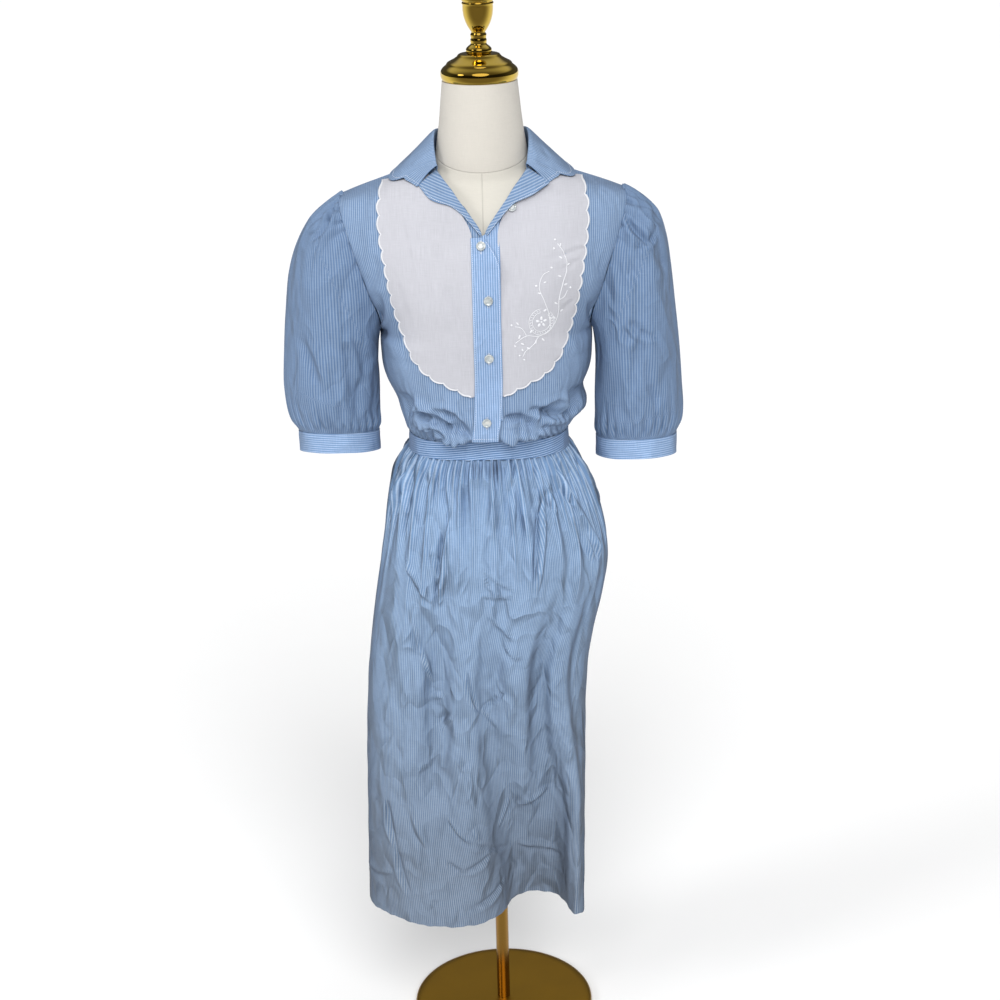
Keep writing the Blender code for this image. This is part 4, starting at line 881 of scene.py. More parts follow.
for growth in vine["wreathCords"]:
    angles = np.linspace(1.6, 0.8 + 2 * math.pi, 70)
    cord = onBib(cx + wreathX * growth * np.cos(angles), cz + wreathZ * growth * np.sin(angles), 0.0003)
    addRope(embroidery, cord, vine["cordR"])
for k in range(vine["petals"]):
    angle = 2 * math.pi * k / vine["petals"] + 0.3
    away = vine["petalAt"]
    stitchPad(cx + away * math.cos(angle), cz + away * math.sin(angle), angle, vine["petal"])
roundPad(cx, cz, vine["centre"], 0.0003)
embroideryThread = plainThread("embroideryThread", (0.72, 0.73, 0.76))
embroideryPart = finish(meshPiece("bibEmbroidery", embroidery, embroideryThread), "white_cotton")
print("bibs made")


# Button stands and buttons

stands = {"wall": 0.0010}
topStand = dict(
    z=(0.9860, 0.9940, 1.0060, 1.0300, 1.0700, 1.1200, 1.1700, 1.2100, 1.2310, 1.2500, 1.2660),
    right=(-0.0225, -0.0215, -0.0200, -0.0185, -0.0170, -0.0170, -0.0170, -0.0170, -0.0170, -0.0170, -0.0170),
    left=(0.0130, 0.0140, 0.0165, 0.0190, 0.0210, 0.0210, 0.0210, 0.0212, 0.0200, 0.0120, 0.0010),
    out=(0.0100, 0.0070, 0.0052, 0.0044, 0.0040, 0.0038, 0.0038, 0.0038, 0.0038, 0.0038, 0.0038),
)
underStand = dict(
    z=(1.0120, 1.0250, 1.0450, 1.0750, 1.1200, 1.1700, 1.2100, 1.2400, 1.2620, 1.2800, 1.2930),
    right=(-0.0130, -0.0130, -0.0130, -0.0130, -0.0130, -0.0130, -0.0130, -0.0130, -0.0060, 0.0095, 0.0185),
    left=(0.0205, 0.0205, 0.0205, 0.0207, 0.0210, 0.0212, 0.0214, 0.0215, 0.0215, 0.0215, 0.0215),
    out=(0.0024, 0.0022, 0.0020, 0.0020, 0.0020, 0.0020, 0.0020, 0.0020, 0.0020, 0.0020, 0.0020),
)
buttonLook = {
    "r": (0.0, 0.0030, 0.0040, 0.0048, 0.0054, 0.0059, 0.0063, 0.0065, 0.0064, 0.0058, 0.0),
    "z": (0.0013, 0.0014, 0.0017, 0.0022, 0.0025, 0.0024, 0.0019, 0.0011, 0.0004, 0.0, 0.0),
}
buttonPlaces = (
    dict(name="button1", node="button_1", x=-0.0035, z=1.2558, out=0.0043),
    dict(name="button2", node="button_2", x=0.0045, z=1.1860, out=0.0043),
    dict(name="button3", node="button_3", x=0.0035, z=1.1050, out=0.0043),
    dict(name="button4", node="button_4", x=-0.0020, z=1.0110, out=0.0058),
    dict(name="button5", node="button_5", x=0.0390, z=1.3030, out=0.0031),
)


def standPoint(table, x, z, extra=0.0):
    x, z = np.asarray(x, float), np.asarray(z, float)
    points = frontAt(np.abs(x), z, read(table, "out", z, "z") + extra)
    points[..., 0] = np.where(x < 0, -points[..., 0], points[..., 0])
    return points


def standShape(table):
    def shape(u, v):
        z = table["z"][0] + (table["z"][-1] - table["z"][0]) * v
        x = read(table, "right", z, "z") * (1 - u) + read(table, "left", z, "z") * u
        return standPoint(table, x, z)
    return shape


def standRelief(u, v, net):
    edge = np.exp(-((u - 0.05) / 0.03) ** 2) + np.exp(-((0.95 - u) / 0.03) ** 2)
    pull = sum(np.exp(-((net[..., 2] - place["z"]) / 0.012) ** 2) for place in buttonPlaces[:4])
    sprung = 0.0060 * ease((u - 0.62) / 0.38) * np.exp(-((net[..., 2] - 1.222) / 0.020) ** 2)
    pucker = 0.00035 * np.sin(v * 60) * (1 - pull.clip(0, 1)) * u
    return sprung - 0.00025 * edge + pucker - 0.0003 * pull * (1 - np.abs(2 * u - 1))


standParts = []
for name, table, nodeName in (("standTop", topStand, "placket_right"),
                              ("standUnder", underStand, "placket_left")):
    piece = clothGrid(name, 22, 150, standShape(table), litStandCotton, stands["wall"], relief=standRelief,
                      across=plumb)
    standParts.append(finish(piece, "striped_blue_cotton", nodeName))


def pearlPaint():
    paint, tree, shader = newMaterial("pearlButton",
                                      {"Roughness": 0.16, "Coat Weight": 0.6, "Coat Roughness": 0.08})
    place = node(tree, "ShaderNodeTexCoord").outputs["Object"]
    swirl = noise(tree, place, 130.0, 3.0, 0.6)
    sheen = node(tree, "ShaderNodeValToRGB", links={0: swirl})
    stops = sheen.color_ramp.elements
    stops[0].position, stops[0].color = 0.30, (0.26, 0.28, 0.28, 1)
    stops[1].position, stops[1].color = 0.70, (0.62, 0.61, 0.57, 1)
    stops.new(0.5).color = (0.42, 0.46, 0.47, 1)
    tree.links.new(sheen.outputs[0], shader.inputs["Base Color"])
    bumpTo(tree, shader, noise(tree, place, 420.0, 2.0), 0.15, 0.0002)
    return paint


def lathe(name, radii, heights, paint, steps=64, matrix=None, sharp=0.6):
    bm = bmesh.new()
    corners = [bm.verts.new((radius, 0.0, height)) for radius, height in zip(radii, heights)]
    edges = [bm.edges.new((one, other)) for one, other in zip(corners, corners[1:])]
    bmesh.ops.spin(bm, geom=corners + edges, cent=(0, 0, 0), axis=(0, 0, 1), angle=2 * math.pi, steps=steps,
                   use_merge=True)
    bmesh.ops.remove_doubles(bm, verts=bm.verts, dist=0.00001)
    bmesh.ops.recalc_face_normals(bm, faces=bm.faces)
    if matrix is not None:
        bmesh.ops.transform(bm, matrix=matrix, verts=bm.verts)
    return meshPiece(name, bm, paint, sharp)


pearl = pearlPaint()
for place in buttonPlaces:
    near = frontAt([abs(place["x"])], [place["z"]], [place["out"]])[0]
    far = frontAt([abs(place["x"])], [place["z"]], [place["out"] + 0.01])[0]
    outward = far - near
    if place["x"] < 0:
        near[0] *= -1
        outward[0] *= -1
    matrix = Matrix.Translation(Vector(near)) @ Vector(outward).to_track_quat("Z", "Y").to_matrix().to_4x4()
    finish(lathe(place["name"], buttonLook["r"], buttonLook["z"], pearl, 40, matrix), "pearl_button",
           place["node"])
print("stands and buttons made")


# Collar and lapels

collar = {"wall": 0.0010, "lapelWall": 0.0009, "lapelLift": 0.0044, "notchAt": 0.920, "notchDeep": 0.13,
          "notchWide": 0.016}
collarRun = dict(
    p=(0.0, 0.2, 0.4, 0.55, 0.70, 0.80, 0.86, 0.90, 0.94, 1.0),
    nx=(0.0, 0.0330, 0.0610, 0.0710, 0.0700, 0.0675, 0.0655, 0.0640, 0.0625, 0.0605),
    ny=(0.0560, 0.0500, 0.0270, 0.0020, -0.0150, -0.0260, -0.0330, -0.0370, -0.0405, -0.0450),
    nz=(1.3464, 1.3479, 1.3521, 1.3545, 1.3545, 1.3530, 1.3510, 1.3500, 1.3490, 1.3475),
    rx=(0.0, 0.0320, 0.0560, 0.0635, 0.0655, 0.0655, 0.0650, 0.0640, 0.0630, 0.0610),
    ry=(0.0660, 0.0590, 0.0330, 0.0050, -0.0200, -0.0310, -0.0370, -0.0410, -0.0450, -0.0500),
    rz=(1.3840, 1.3860, 1.3910, 1.3930, 1.3830, 1.3740, 1.3680, 1.3630, 1.3590, 1.3550),
    ex=(0.0, 0.0480, 0.0880, 0.1070, 0.1200, 0.1270, 0.1270, 0.1195, 0.1060, 0.0880),
    ey=(0.1080, 0.1000, 0.0660, 0.0250, -0.0050, -0.0220, -0.0350, -0.0440, -0.0510, -0.0690),
    ez=(1.3360, 1.3370, 1.3420, 1.3450, 1.3445, 1.3390, 1.3350, 1.3350, 1.3370, 1.3310),
)
lapelRight = dict(
    s=(0.0, 0.25, 0.45, 0.62, 0.78, 1.0),
    ix=(0.0015, 0.0115, 0.0215, 0.0310, 0.0415, 0.0600), iz=(1.2725, 1.2890, 1.3010, 1.3135, 1.3265, 1.3455),
    ox=(0.0045, 0.0185, 0.0300, 0.0450, 0.0680, 0.0860), oz=(1.2690, 1.2850, 1.2965, 1.3060, 1.3130, 1.3290),
)
lapelLeft = dict(
    s=lapelRight["s"], ix=lapelRight["ix"], iz=lapelRight["iz"],
    ox=(0.0055, 0.0235, 0.0345, 0.0470, 0.0680, 0.0900), oz=(1.2690, 1.2890, 1.3000, 1.3090, 1.3160, 1.3260),
)


def collarSurface(u, v):
    side = np.where(u < 0.5, -1.0, 1.0)
    p = np.abs(2 * u - 1)
    neck, fold, edge = (np.stack([read(collarRun, key + axis, p, "p") for axis in "xyz"],
                                 axis=-1) for key in "nre")
    notch = collar["notchDeep"] * np.exp(-((p - collar["notchAt"]) / collar["notchWide"]) ** 2)
    edge = edge + (fold - edge) * notch[:, None]
    middle = fold * 0.45 + edge * 0.55 + np.array([0.0, 0.0, 0.0030])
    knots = (0.0, 0.36, 0.72, 1.0)
    steps = np.diff(knots)
    stack = np.stack([neck, fold, middle, edge])
    slope = slopes(stack, steps)
    points = np.zeros_like(neck)
    for k in range(3):
        t = ((v - knots[k]) / steps[k])[:, None]
        inside = ((v >= knots[k]) & (v <= knots[k + 1]))[:, None]
        points = np.where(inside, between(t, steps[k], stack[k], stack[k + 1], slope[k], slope[k + 1]),
                          points)
    points[:, 0] *= side
    return points


def collarRelief(u, v, net):
    seam = np.exp(-((v - 0.955) / 0.012) ** 2)
    soft = 0.0005 * np.sin(2 * np.pi * (3.3 * u + 0.8 * v)) * ease((v - 0.4) / 0.3)
    return -0.0003 * seam + soft * ease((1 - v) / 0.1)


def lapelShape(table, side, spring):
    def shape(u, v):
        x = read(table, "ix", v, "s") * (1 - u) + read(table, "ox", v, "s") * u
        z = read(table, "iz", v, "s") * (1 - u) + read(table, "oz", v, "s") * u
        lift = (collar["lapelLift"] + 0.0012 * np.sin(np.pi * u) * v - 0.0006 * (1 - u)
                + spring * u * ease(v / 0.3))
        return mirrored(frontAt(x, z, lift), side)
    return shape


def lapelRelief(u, v, net):
    return -0.0002 * np.exp(-((u - 0.90) / 0.03) ** 2) + 0.0003 * np.sin(9 * v + 4 * u) * (1 - u) * u * 4


def lapelGrain(net, s, t):  # facing cloth turned out, stripes nearly level
    return 0.94 * net[..., 2] - 0.33 * np.abs(net[..., 0]), 0.94 * net[..., 0]


collarPart = clothGrid("shirtCollar", 150, 40, collarSurface, bodyCotton, collar["wall"], relief=collarRelief,
                       grain=(0.8, 0.5))
finish(collarPart, "striped_blue_cotton", "collar")
lapelSides = (("right", lapelRight, -1, 0.0), ("left", lapelLeft, 1, 0.0036))
lapelParts = []
for word, table, side, spring in lapelSides:
    piece = clothGrid("lapel" + word.capitalize(), 30, 84, lapelShape(table, side, spring), bodyCotton,
                      collar["lapelWall"], flip=side < 0, relief=lapelRelief, across=lapelGrain)
    lapelParts.append(finish(piece, "striped_blue_cotton", "lapel_" + word))
print("collar made")


# Sleeves and cuffs

sleeve = {
    "wall": 0.0008, "headGathers": 22, "cuffGathers": 27, "axis": 0.216, "round": 0.064, "sharp": 0.92,
    "tip": {-1: 0.19, 1: 0.12}, "dip": {-1: 0.0, 1: 0.003},
    "cuffWall": 0.0010, "cuffHigh": 0.0290, "cuffGap": 0.0006,
}
sleeveRight = dict(
    t=(0.0, 0.10, 0.20, 0.32, 0.45, 0.58, 0.70, 0.82, 0.92, 1.0),
    ox=(0.1925, 0.2150, 0.2370, 0.2580, 0.2720, 0.2790, 0.2850, 0.2890, 0.2840, 0.2730),
    oz=(1.3117, 1.3000, 1.2810, 1.2480, 1.2050, 1.1500, 1.0950, 1.0400, 0.9960, 0.9690),
    ix=(0.1500, 0.1530, 0.1545, 0.1555, 0.1560, 0.1570, 0.1570, 0.1560, 0.1560, 0.1580),
    iz=(1.1140, 1.1000, 1.0860, 1.0700, 1.0520, 1.0340, 1.0160, 1.0000, 0.9830, 0.9670),
    front=(-0.0630, -0.0740, -0.0800, -0.0820, -0.0800, -0.0770, -0.0740, -0.0700, -0.0640, -0.0560),
    back=(0.0710, 0.0790, 0.0830, 0.0830, 0.0790, 0.0740, 0.0700, 0.0650, 0.0580, 0.0470),
)
sleeveLeft = dict(
    t=sleeveRight["t"],
    ox=(0.1925, 0.2180, 0.2400, 0.2540, 0.2620, 0.2680, 0.2740, 0.2775, 0.2780, 0.2700),
    oz=(1.3117, 1.3010, 1.2800, 1.2450, 1.1980, 1.1430, 1.0850, 1.0280, 0.9860, 0.9560),
    ix=(0.1500, 0.1530, 0.1540, 0.1545, 0.1540, 0.1535, 0.1530, 0.1530, 0.1530, 0.1550),
    iz=(1.1140, 1.0990, 1.0840, 1.0660, 1.0460, 1.0260, 1.0070, 0.9890, 0.9710, 0.9540),
    front=sleeveRight["front"], back=sleeveRight["back"],
)
# Creases on the front and back halves of each sleeve, by distance out from the body and height
sleeveCreases = {
    (-1, "front"): dict(
        a0=(0.206, 0.222, 0.264, 0.184, 0.176, 0.258, 0.232, 0.206, 0.196),
        b0=(1.300, 1.292, 1.118, 1.120, 1.060, 1.130, 1.110, 1.030, 1.120),
        a1=(0.234, 0.240, 0.232, 0.170, 0.186, 0.240, 0.214, 0.214, 0.190),
        b1=(1.258, 1.266, 1.036, 1.060, 1.000, 1.060, 1.030, 0.990, 1.040),
        deep=(0.0042, 0.0020, 0.0018, 0.0018, 0.0016, 0.0014, 0.0014, 0.0014, 0.0012),
        wide=(0.0055, 0.005, 0.010, 0.008, 0.007, 0.008, 0.010, 0.006, 0.008),
        bend=(0.003, 0.002, 0.006, 0.004, 0.0, 0.002, 0.004, 0, 0.003)),
    (-1, "back"): dict(
        a0=(0.210, 0.250, 0.180, 0.232, 0.200), b0=(1.296, 1.180, 1.160, 1.090, 1.040),
        a1=(0.236, 0.224, 0.200, 0.222, 0.206),
        b1=(1.250, 1.110, 1.090, 1.020, 0.990), deep=(0.0032, 0.0018, 0.0018, 0.0014, 0.0014),
        wide=(0.006, 0.010, 0.009, 0.008, 0.006),
        bend=(0.003, 0.004, 0.003, 0.002, 0)),
    (1, "front"): dict(
        a0=(0.214, 0.196, 0.204, 0.236, 0.196, 0.198, 0.186, 0.222, 0.216, 0.234),
        b0=(1.300, 1.278, 1.240, 1.292, 1.224, 1.138, 1.128, 1.080, 1.120, 1.270),
        a1=(0.240, 0.224, 0.240, 0.246, 0.212, 0.236, 0.214, 0.240, 0.204, 0.250),
        b1=(1.266, 1.246, 1.254, 1.262, 1.190, 1.110, 1.104, 1.010, 1.030, 1.200),
        deep=(0.0028, 0.0034, 0.0028, 0.0020, 0.0012, 0.0020, 0.0014, 0.0020, 0.0016, 0.0018),
        wide=(0.0050, 0.0050, 0.0055, 0.005, 0.006, 0.006, 0.006, 0.008, 0.009, 0.009),
        bend=(0.002, 0.002, 0.003, 0.001, 0.001, 0.003, 0.002, 0.004, 0.003, 0.002)),
    (1, "back"): dict(
        a0=(0.212, 0.230, 0.186, 0.240, 0.204), b0=(1.292, 1.200, 1.150, 1.110, 1.050),
        a1=(0.238, 0.206, 0.206, 0.226, 0.212),
        b1=(1.244, 1.140, 1.080, 1.030, 0.990), deep=(0.0030, 0.0018, 0.0018, 0.0016, 0.0014),
        wide=(0.006, 0.010, 0.009, 0.008, 0.006),
        bend=(0.003, -0.004, 0.003, 0.002, 0)),
}


def sleeveShape(table, side):
    def shape(u, v):
        around = 2 * np.pi * np.mod(u, 1.0)
        crowd = around - 0.50 * np.sin(around) * (1 - ease(v / 0.5))
        ox, oz, ix, iz = (read(table, key, v, "t") for key in ("ox", "oz", "ix", "iz"))
        reach = np.where(np.sin(crowd) > 0, read(table, "front", v, "t"), read(table, "back", v, "t"))
        cosine = np.sign(np.cos(crowd)) * np.abs(np.cos(crowd)) ** sleeve["sharp"]
        sine = np.abs(np.sin(crowd)) ** sleeve["sharp"]
        points = np.stack([(ox + ix) / 2 + (ox - ix) / 2 * cosine, reach * sine,
                           (oz + iz) / 2 + (oz - iz) / 2 * cosine], axis=-1)
        share = 1.0 - 0.52 * np.clip(1 - np.abs(np.mod(crowd / np.pi, 2.0) - 1.0), 0, 1)
        front, back = (np.stack([read(edge, key, share, "v") for key in "xyz"], axis=-1)
                       for edge in (frontSide, backSide))
        hole = np.where((np.sin(crowd) > 0)[:, None], front, back)
        hole[:, 0] -= 0.0003
        points[:, 2] -= (sleeve["tip"][side] * points[:, 1] + sleeve["dip"][side]) * ease((v - 0.70) / 0.30)
        share = (1 - ease(v / 0.22))[:, None]
        return mirrored(points * (1 - share) + hole * share, side)
    return shape


def sleeveRelief(side):
    def relief(u, v, net):
        around = 2 * np.pi * np.mod(u, 1.0)
        head = 0.5 + 0.5 * np.cos(around)
        x, z = np.abs(net[..., 0]), net[..., 2]
        seed = 0.4 if side < 0 else 1.9
        crown = pleatProfile(2 * np.pi * sleeve["headGathers"] * u + uneven(np.cos(around), seed, 1.3))
        crownReach = 0.16 + 0.05 * np.sin(7 * around + seed)
        height = 0.0060 * crown * head ** 1.5 * np.exp(-(v / crownReach) ** 1.5) * ease((v - 0.004) / 0.04)
        drawn = pleatProfile(2 * np.pi * sleeve["cuffGathers"] * u + 1.1 * np.sin(3 * around + seed))
        cuffReach = 0.11 + 0.045 * np.sin(5 * around + seed) + 0.02 * np.sin(11 * around)
        height = height + 0.0046 * drawn * np.exp(-((1 - v) / cuffReach) ** 1.6) * ease((1 - v) / 0.06)
        isFront = net[..., 1] < 0
        for half, mask in (("front", isFront), ("back", ~isFront)):
            edge = ease(np.abs(net[..., 1]) / 0.02) * ease(v / 0.06) * ease((1 - v) / 0.06)
            height = height + np.where(mask, 2.8 * creaseHeight(x, z, sleeveCreases[(side, half)]) * edge, 0)
        fall = 0.0030 * np.sin(4 * around + 1.3 + seed) * np.exp(-((v - 0.6) / 0.22) ** 2)
        return height + fall - 0.0016 * np.exp(-(v / 0.014) ** 2)
    return relief


def sleeveGrain(side):  # stripes hang plumb round the arm
    def grain(net, s, t):
        angle = np.unwrap(np.arctan2(net[..., 1], sleeve["axis"] - np.abs(net[..., 0])), axis=1)
        return sleeve["round"] * angle, net[..., 2]
    return grain


def cuffShape(table, side):
    def shape(u, v):
        around = 2 * np.pi * np.mod(u, 1.0)
        ox, ix = table["ox"][-1] + sleeve["cuffGap"], table["ix"][-1] - sleeve["cuffGap"]
        cosine, sine = (np.sign(way) * np.abs(way) ** sleeve["sharp"]
                        for way in (np.cos(around), np.sin(around)))
        reach = np.where(sine > 0, table["front"][-1], -table["back"][-1])
        x, y = (ox + ix) / 2 + (ox - ix) / 2 * cosine, reach * sine
        top = (table["oz"][-1] + table["iz"][-1]) / 2 + (table["oz"][-1] - table["iz"][-1]) / 2 * cosine
        z = top - sleeve["cuffGap"] - sleeve["cuffHigh"] * v - sleeve["tip"][side] * y - sleeve["dip"][side]
        return mirrored(np.stack([x, y, z], axis=-1), side)
    return shape


def cuffRelief(u, v, net):
    rim = np.exp(-((v - 0.07) / 0.03) ** 2) + np.exp(-((v - 0.93) / 0.03) ** 2)
    return -0.0002 * rim + 0.0004 * np.sin(2 * np.pi * 7 * u + 5 * v) * v + 0.0003


def cuffGrain(net, s, t):  # stripes run round the arm, a little wavy
    return t + 0.0016 * np.sin(s * 30), s


sleeveSides = (("right", sleeveRight, -1), ("left", sleeveLeft, 1))
sleeveParts, cuffParts = [], []
for word, table, side in sleeveSides:
    piece = clothGrid("sleeve" + word.capitalize(), 216, 76, sleeveShape(table, side), shadedSleeveCotton,
                      sleeve["wall"], flip=side < 0, ring=True, relief=sleeveRelief(side),
                      across=sleeveGrain(side))
    sleeveParts.append(finish(piece, "striped_blue_cotton", "sleeve_" + word))
    cuff = clothGrid("cuff" + word.capitalize(), 144, 14, cuffShape(table, side), litStandCotton,
                     sleeve["cuffWall"], flip=side < 0, ring=True, relief=cuffRelief, across=cuffGrain)
    cuffParts.append(finish(cuff, "striped_blue_cotton", "cuff_" + word))
print("sleeves made")


# Waistband and skirt

waist = {
    "height": 0.0255, "half": 0.1130, "front": 0.0965, "back": 0.0880, "seam": 0.0004, "wall": 0.0010,
    "lap": -1.5, "turn": 373.0, "flare": 0.0012, "lapLift": 0.0015, "round": 2.2,
}
skirt = {
    "wall": 0.0008, "gathers": 34, "folds": 15, "flatHalf": 0.62, "hemDepth": 0.047,
    "hem": 0.2120, "top": 0.9478, "drop": 0.0064, "sideGap": 0.0010,
}


def waistHeight(r, forward):
    front = bodice["waistFront"] + (bodice["waistSide"] - bodice["waistFront"]) * r ** 1.3
    back = bodice["waistBack"] + (bodice["waistSide"] - bodice["waistBack"]) * r ** 1.5
    return np.where(forward, front, back)


def bandShape(u, v):
    angle = math.radians(waist["lap"]) - math.radians(waist["turn"]) * u
    drop = 1 - v
    lift = waist["lapLift"] * (1 - ease((0.10 - u) / 0.10))
    c, s = np.cos(angle), np.sin(angle)
    reach = np.where(c > 0, waist["front"], waist["back"]) + waist["flare"] * drop + lift
    power = 2 / waist["round"]
    half = waist["half"] + waist["flare"] * drop + lift
    top = waistHeight(np.abs(s) ** power, c > 0)
    return np.stack([half * np.sign(s) * np.abs(s) ** power, -reach * np.sign(c) * np.abs(c) ** power,
                     top - waist["seam"] - waist["height"] * drop], axis=-1)


def bandRelief(u, v, net):
    return (0.0003 * np.sin(2 * np.pi * 13 * u + 3 * v) * v * (1 - v) * 4
            - 0.0002 * np.exp(-((v - 0.07) / 0.03) ** 2))


def bandGrain(net, s, t):  # stripes run round the waist, slightly off the straight
    return t + 0.09 * (s - s.max() / 2), s


bandPart = clothGrid("waistBand", 300, 12, bandShape, bandCotton, waist["wall"], flip=True, relief=bandRelief,
                     across=bandGrain)
finish(bandPart, "striped_blue_cotton", "waistband")

hipPlan = dict(
    z=0.800,
    fx=(-0.158, -0.152, -0.128, -0.090, -0.045, 0.0, 0.045, 0.090, 0.130, 0.160, 0.168),
    fy=(0.004, -0.040, -0.080, -0.108, -0.122, -0.126, -0.123, -0.110, -0.084, -0.044, 0.004),
    bx=(0.168, 0.160, 0.130, 0.090, 0.045, 0.0, -0.045, -0.090, -0.130, -0.152, -0.158),
    by=(0.004, 0.052, 0.092, 0.117, 0.130, 0.134, 0.130, 0.117, 0.090, 0.050, 0.004),
)
kneePlan = dict(
    z=0.615,
    fx=(-0.187, -0.184, -0.165, -0.136, -0.110, -0.092, -0.078, -0.056, -0.034, -0.018, -0.002, 0.020,
        0.042, 0.056, 0.068, 0.084, 0.102, 0.113, 0.124, 0.136, 0.140),
    fy=(0.004, -0.036, -0.068, -0.092, -0.098, -0.084, -0.088, -0.112, -0.116, -0.102, -0.100, -0.116,
        -0.112, -0.090, -0.082, -0.095, -0.088, -0.064, -0.056, -0.034, 0.004),
    bx=(0.140, 0.137, 0.122, 0.104, 0.088, 0.068, 0.044, 0.022, 0.000, -0.022, -0.046, -0.068, -0.092,
        -0.116, -0.136, -0.154, -0.172, -0.184, -0.187),
    by=(0.004, 0.040, 0.074, 0.092, 0.088, 0.098, 0.122, 0.124, 0.108, 0.112, 0.134, 0.132, 0.110, 0.108,
        0.114, 0.096, 0.074, 0.042, 0.004),
)
calfPlan = dict(
    z=0.415,
    fx=(-0.198, -0.196, -0.180, -0.152, -0.122, -0.098, -0.078, -0.052, -0.026, -0.008, 0.006, 0.022,
        0.042, 0.062, 0.080, 0.096, 0.108, 0.118, 0.126, 0.131, 0.131),
    fy=(0.004, -0.034, -0.064, -0.090, -0.104, -0.100, -0.106, -0.122, -0.112, -0.090, -0.076, -0.070,
        -0.072, -0.060, -0.054, -0.068, -0.086, -0.090, -0.072, -0.036, 0.004),
    bx=(0.131, 0.130, 0.118, 0.100, 0.080, 0.060, 0.038, 0.014, -0.010, -0.034, -0.056, -0.076, -0.100,
        -0.124, -0.144, -0.160, -0.180, -0.195, -0.198),
    by=(0.004, 0.040, 0.074, 0.094, 0.088, 0.086, 0.106, 0.124, 0.122, 0.104, 0.096, 0.112, 0.124, 0.114,
        0.094, 0.084, 0.070, 0.040, 0.004),
)
hemPlan = dict(
    z=0.212,
    fx=(-0.205, -0.202, -0.190, -0.170, -0.144, -0.112, -0.074, -0.038, -0.010, 0.006, 0.013, 0.024, 0.044,
        0.068, 0.088, 0.099, 0.105, 0.114, 0.122, 0.1265, 0.124),
    fy=(0.006, -0.024, -0.047, -0.070, -0.089, -0.104, -0.113, -0.104, -0.087, -0.064, -0.040, -0.022,
        -0.013, -0.012, -0.022, -0.044, -0.068, -0.084, -0.078, -0.044, 0.006),
    bx=(0.124, 0.122, 0.110, 0.092, 0.072, 0.054, 0.034, 0.012, -0.012, -0.036, -0.056, -0.076, -0.100,
        -0.126, -0.148, -0.164, -0.184, -0.202, -0.205),
    by=(0.006, 0.040, 0.074, 0.096, 0.090, 0.078, 0.092, 0.118, 0.124, 0.106, 0.088, 0.098, 0.120, 0.116,
        0.090, 0.074, 0.066, 0.038, 0.006),
)


def ovalPlan(half, centre, front, back, z):
    angle = np.linspace(-np.pi / 2, np.pi / 2, 25)
    s = np.sign(np.sin(angle)) * np.abs(np.sin(angle)) ** (2 / waist["round"])
    c = np.abs(np.cos(angle)) ** (2 / waist["round"])
    return dict(z=z, fx=centre + half * s, fy=-front * c + 0.001, bx=centre - half * s, by=back * c + 0.001)


skirtPlans = [ovalPlan(0.1146, 0.0, 0.0985, 0.0895, 0.9478), ovalPlan(0.1270, 0.0, 0.1090, 0.1020, 0.9250),
              ovalPlan(0.1420, 0.0020, 0.1180, 0.1170, 0.8850), hipPlan, kneePlan, calfPlan, hemPlan]


def planReader(xs, ys, at):
    run = np.concatenate([[0], np.cumsum(np.hypot(np.diff(xs), np.diff(ys)))])
    return [smooth(run / run[-1], values, at) for values in (xs, ys)]


def skirtShape(part):
    first, second = ("fx", "fy") if part == "front" else ("bx", "by")

    def shape(u, v):
        u = skirt["sideGap"] + u * (1 - 2 * skirt["sideGap"])
        z = skirt["hem"] + (skirt["top"] - skirt["hem"]) * v
        rings = np.array([planReader(plan[first], plan[second], u) for plan in skirtPlans])
        heights = np.array([-plan["z"] for plan in skirtPlans])
        span = np.clip(np.searchsorted(heights, -z, side="right") - 1, 0, len(heights) - 2)
        steps = np.diff(heights)
        h = steps[span]
        t = np.clip((-z - heights[span]) / h, 0, 1)
        here = np.arange(len(z))
        found = []
        for stack in (rings[:, 0], rings[:, 1]):
            slope = slopes(stack, steps)
            found.append(between(t, h, stack[span, here], stack[span + 1, here], slope[span, here],
                                 slope[span + 1, here]))
        x, y = found
        half = np.interp(z, (0.885, 0.925, skirt["top"]), (0.142, 0.127, 0.1146))
        top = waistHeight(np.clip(np.abs(x) / half, 0, 1), part == "front") - bodice["waistSide"]
        inside = ease(u / 0.03) * ease((1 - u) / 0.03)
        wave = 0.0022 * uneven(u * 5, 1.3 if part == "front" else 2.9) * (1 - ease(v / 0.06)) * inside
        return np.stack([x, y, z - skirt["drop"] + wave + top * ease((z - 0.84) / 0.1078)], axis=-1)
    return shape


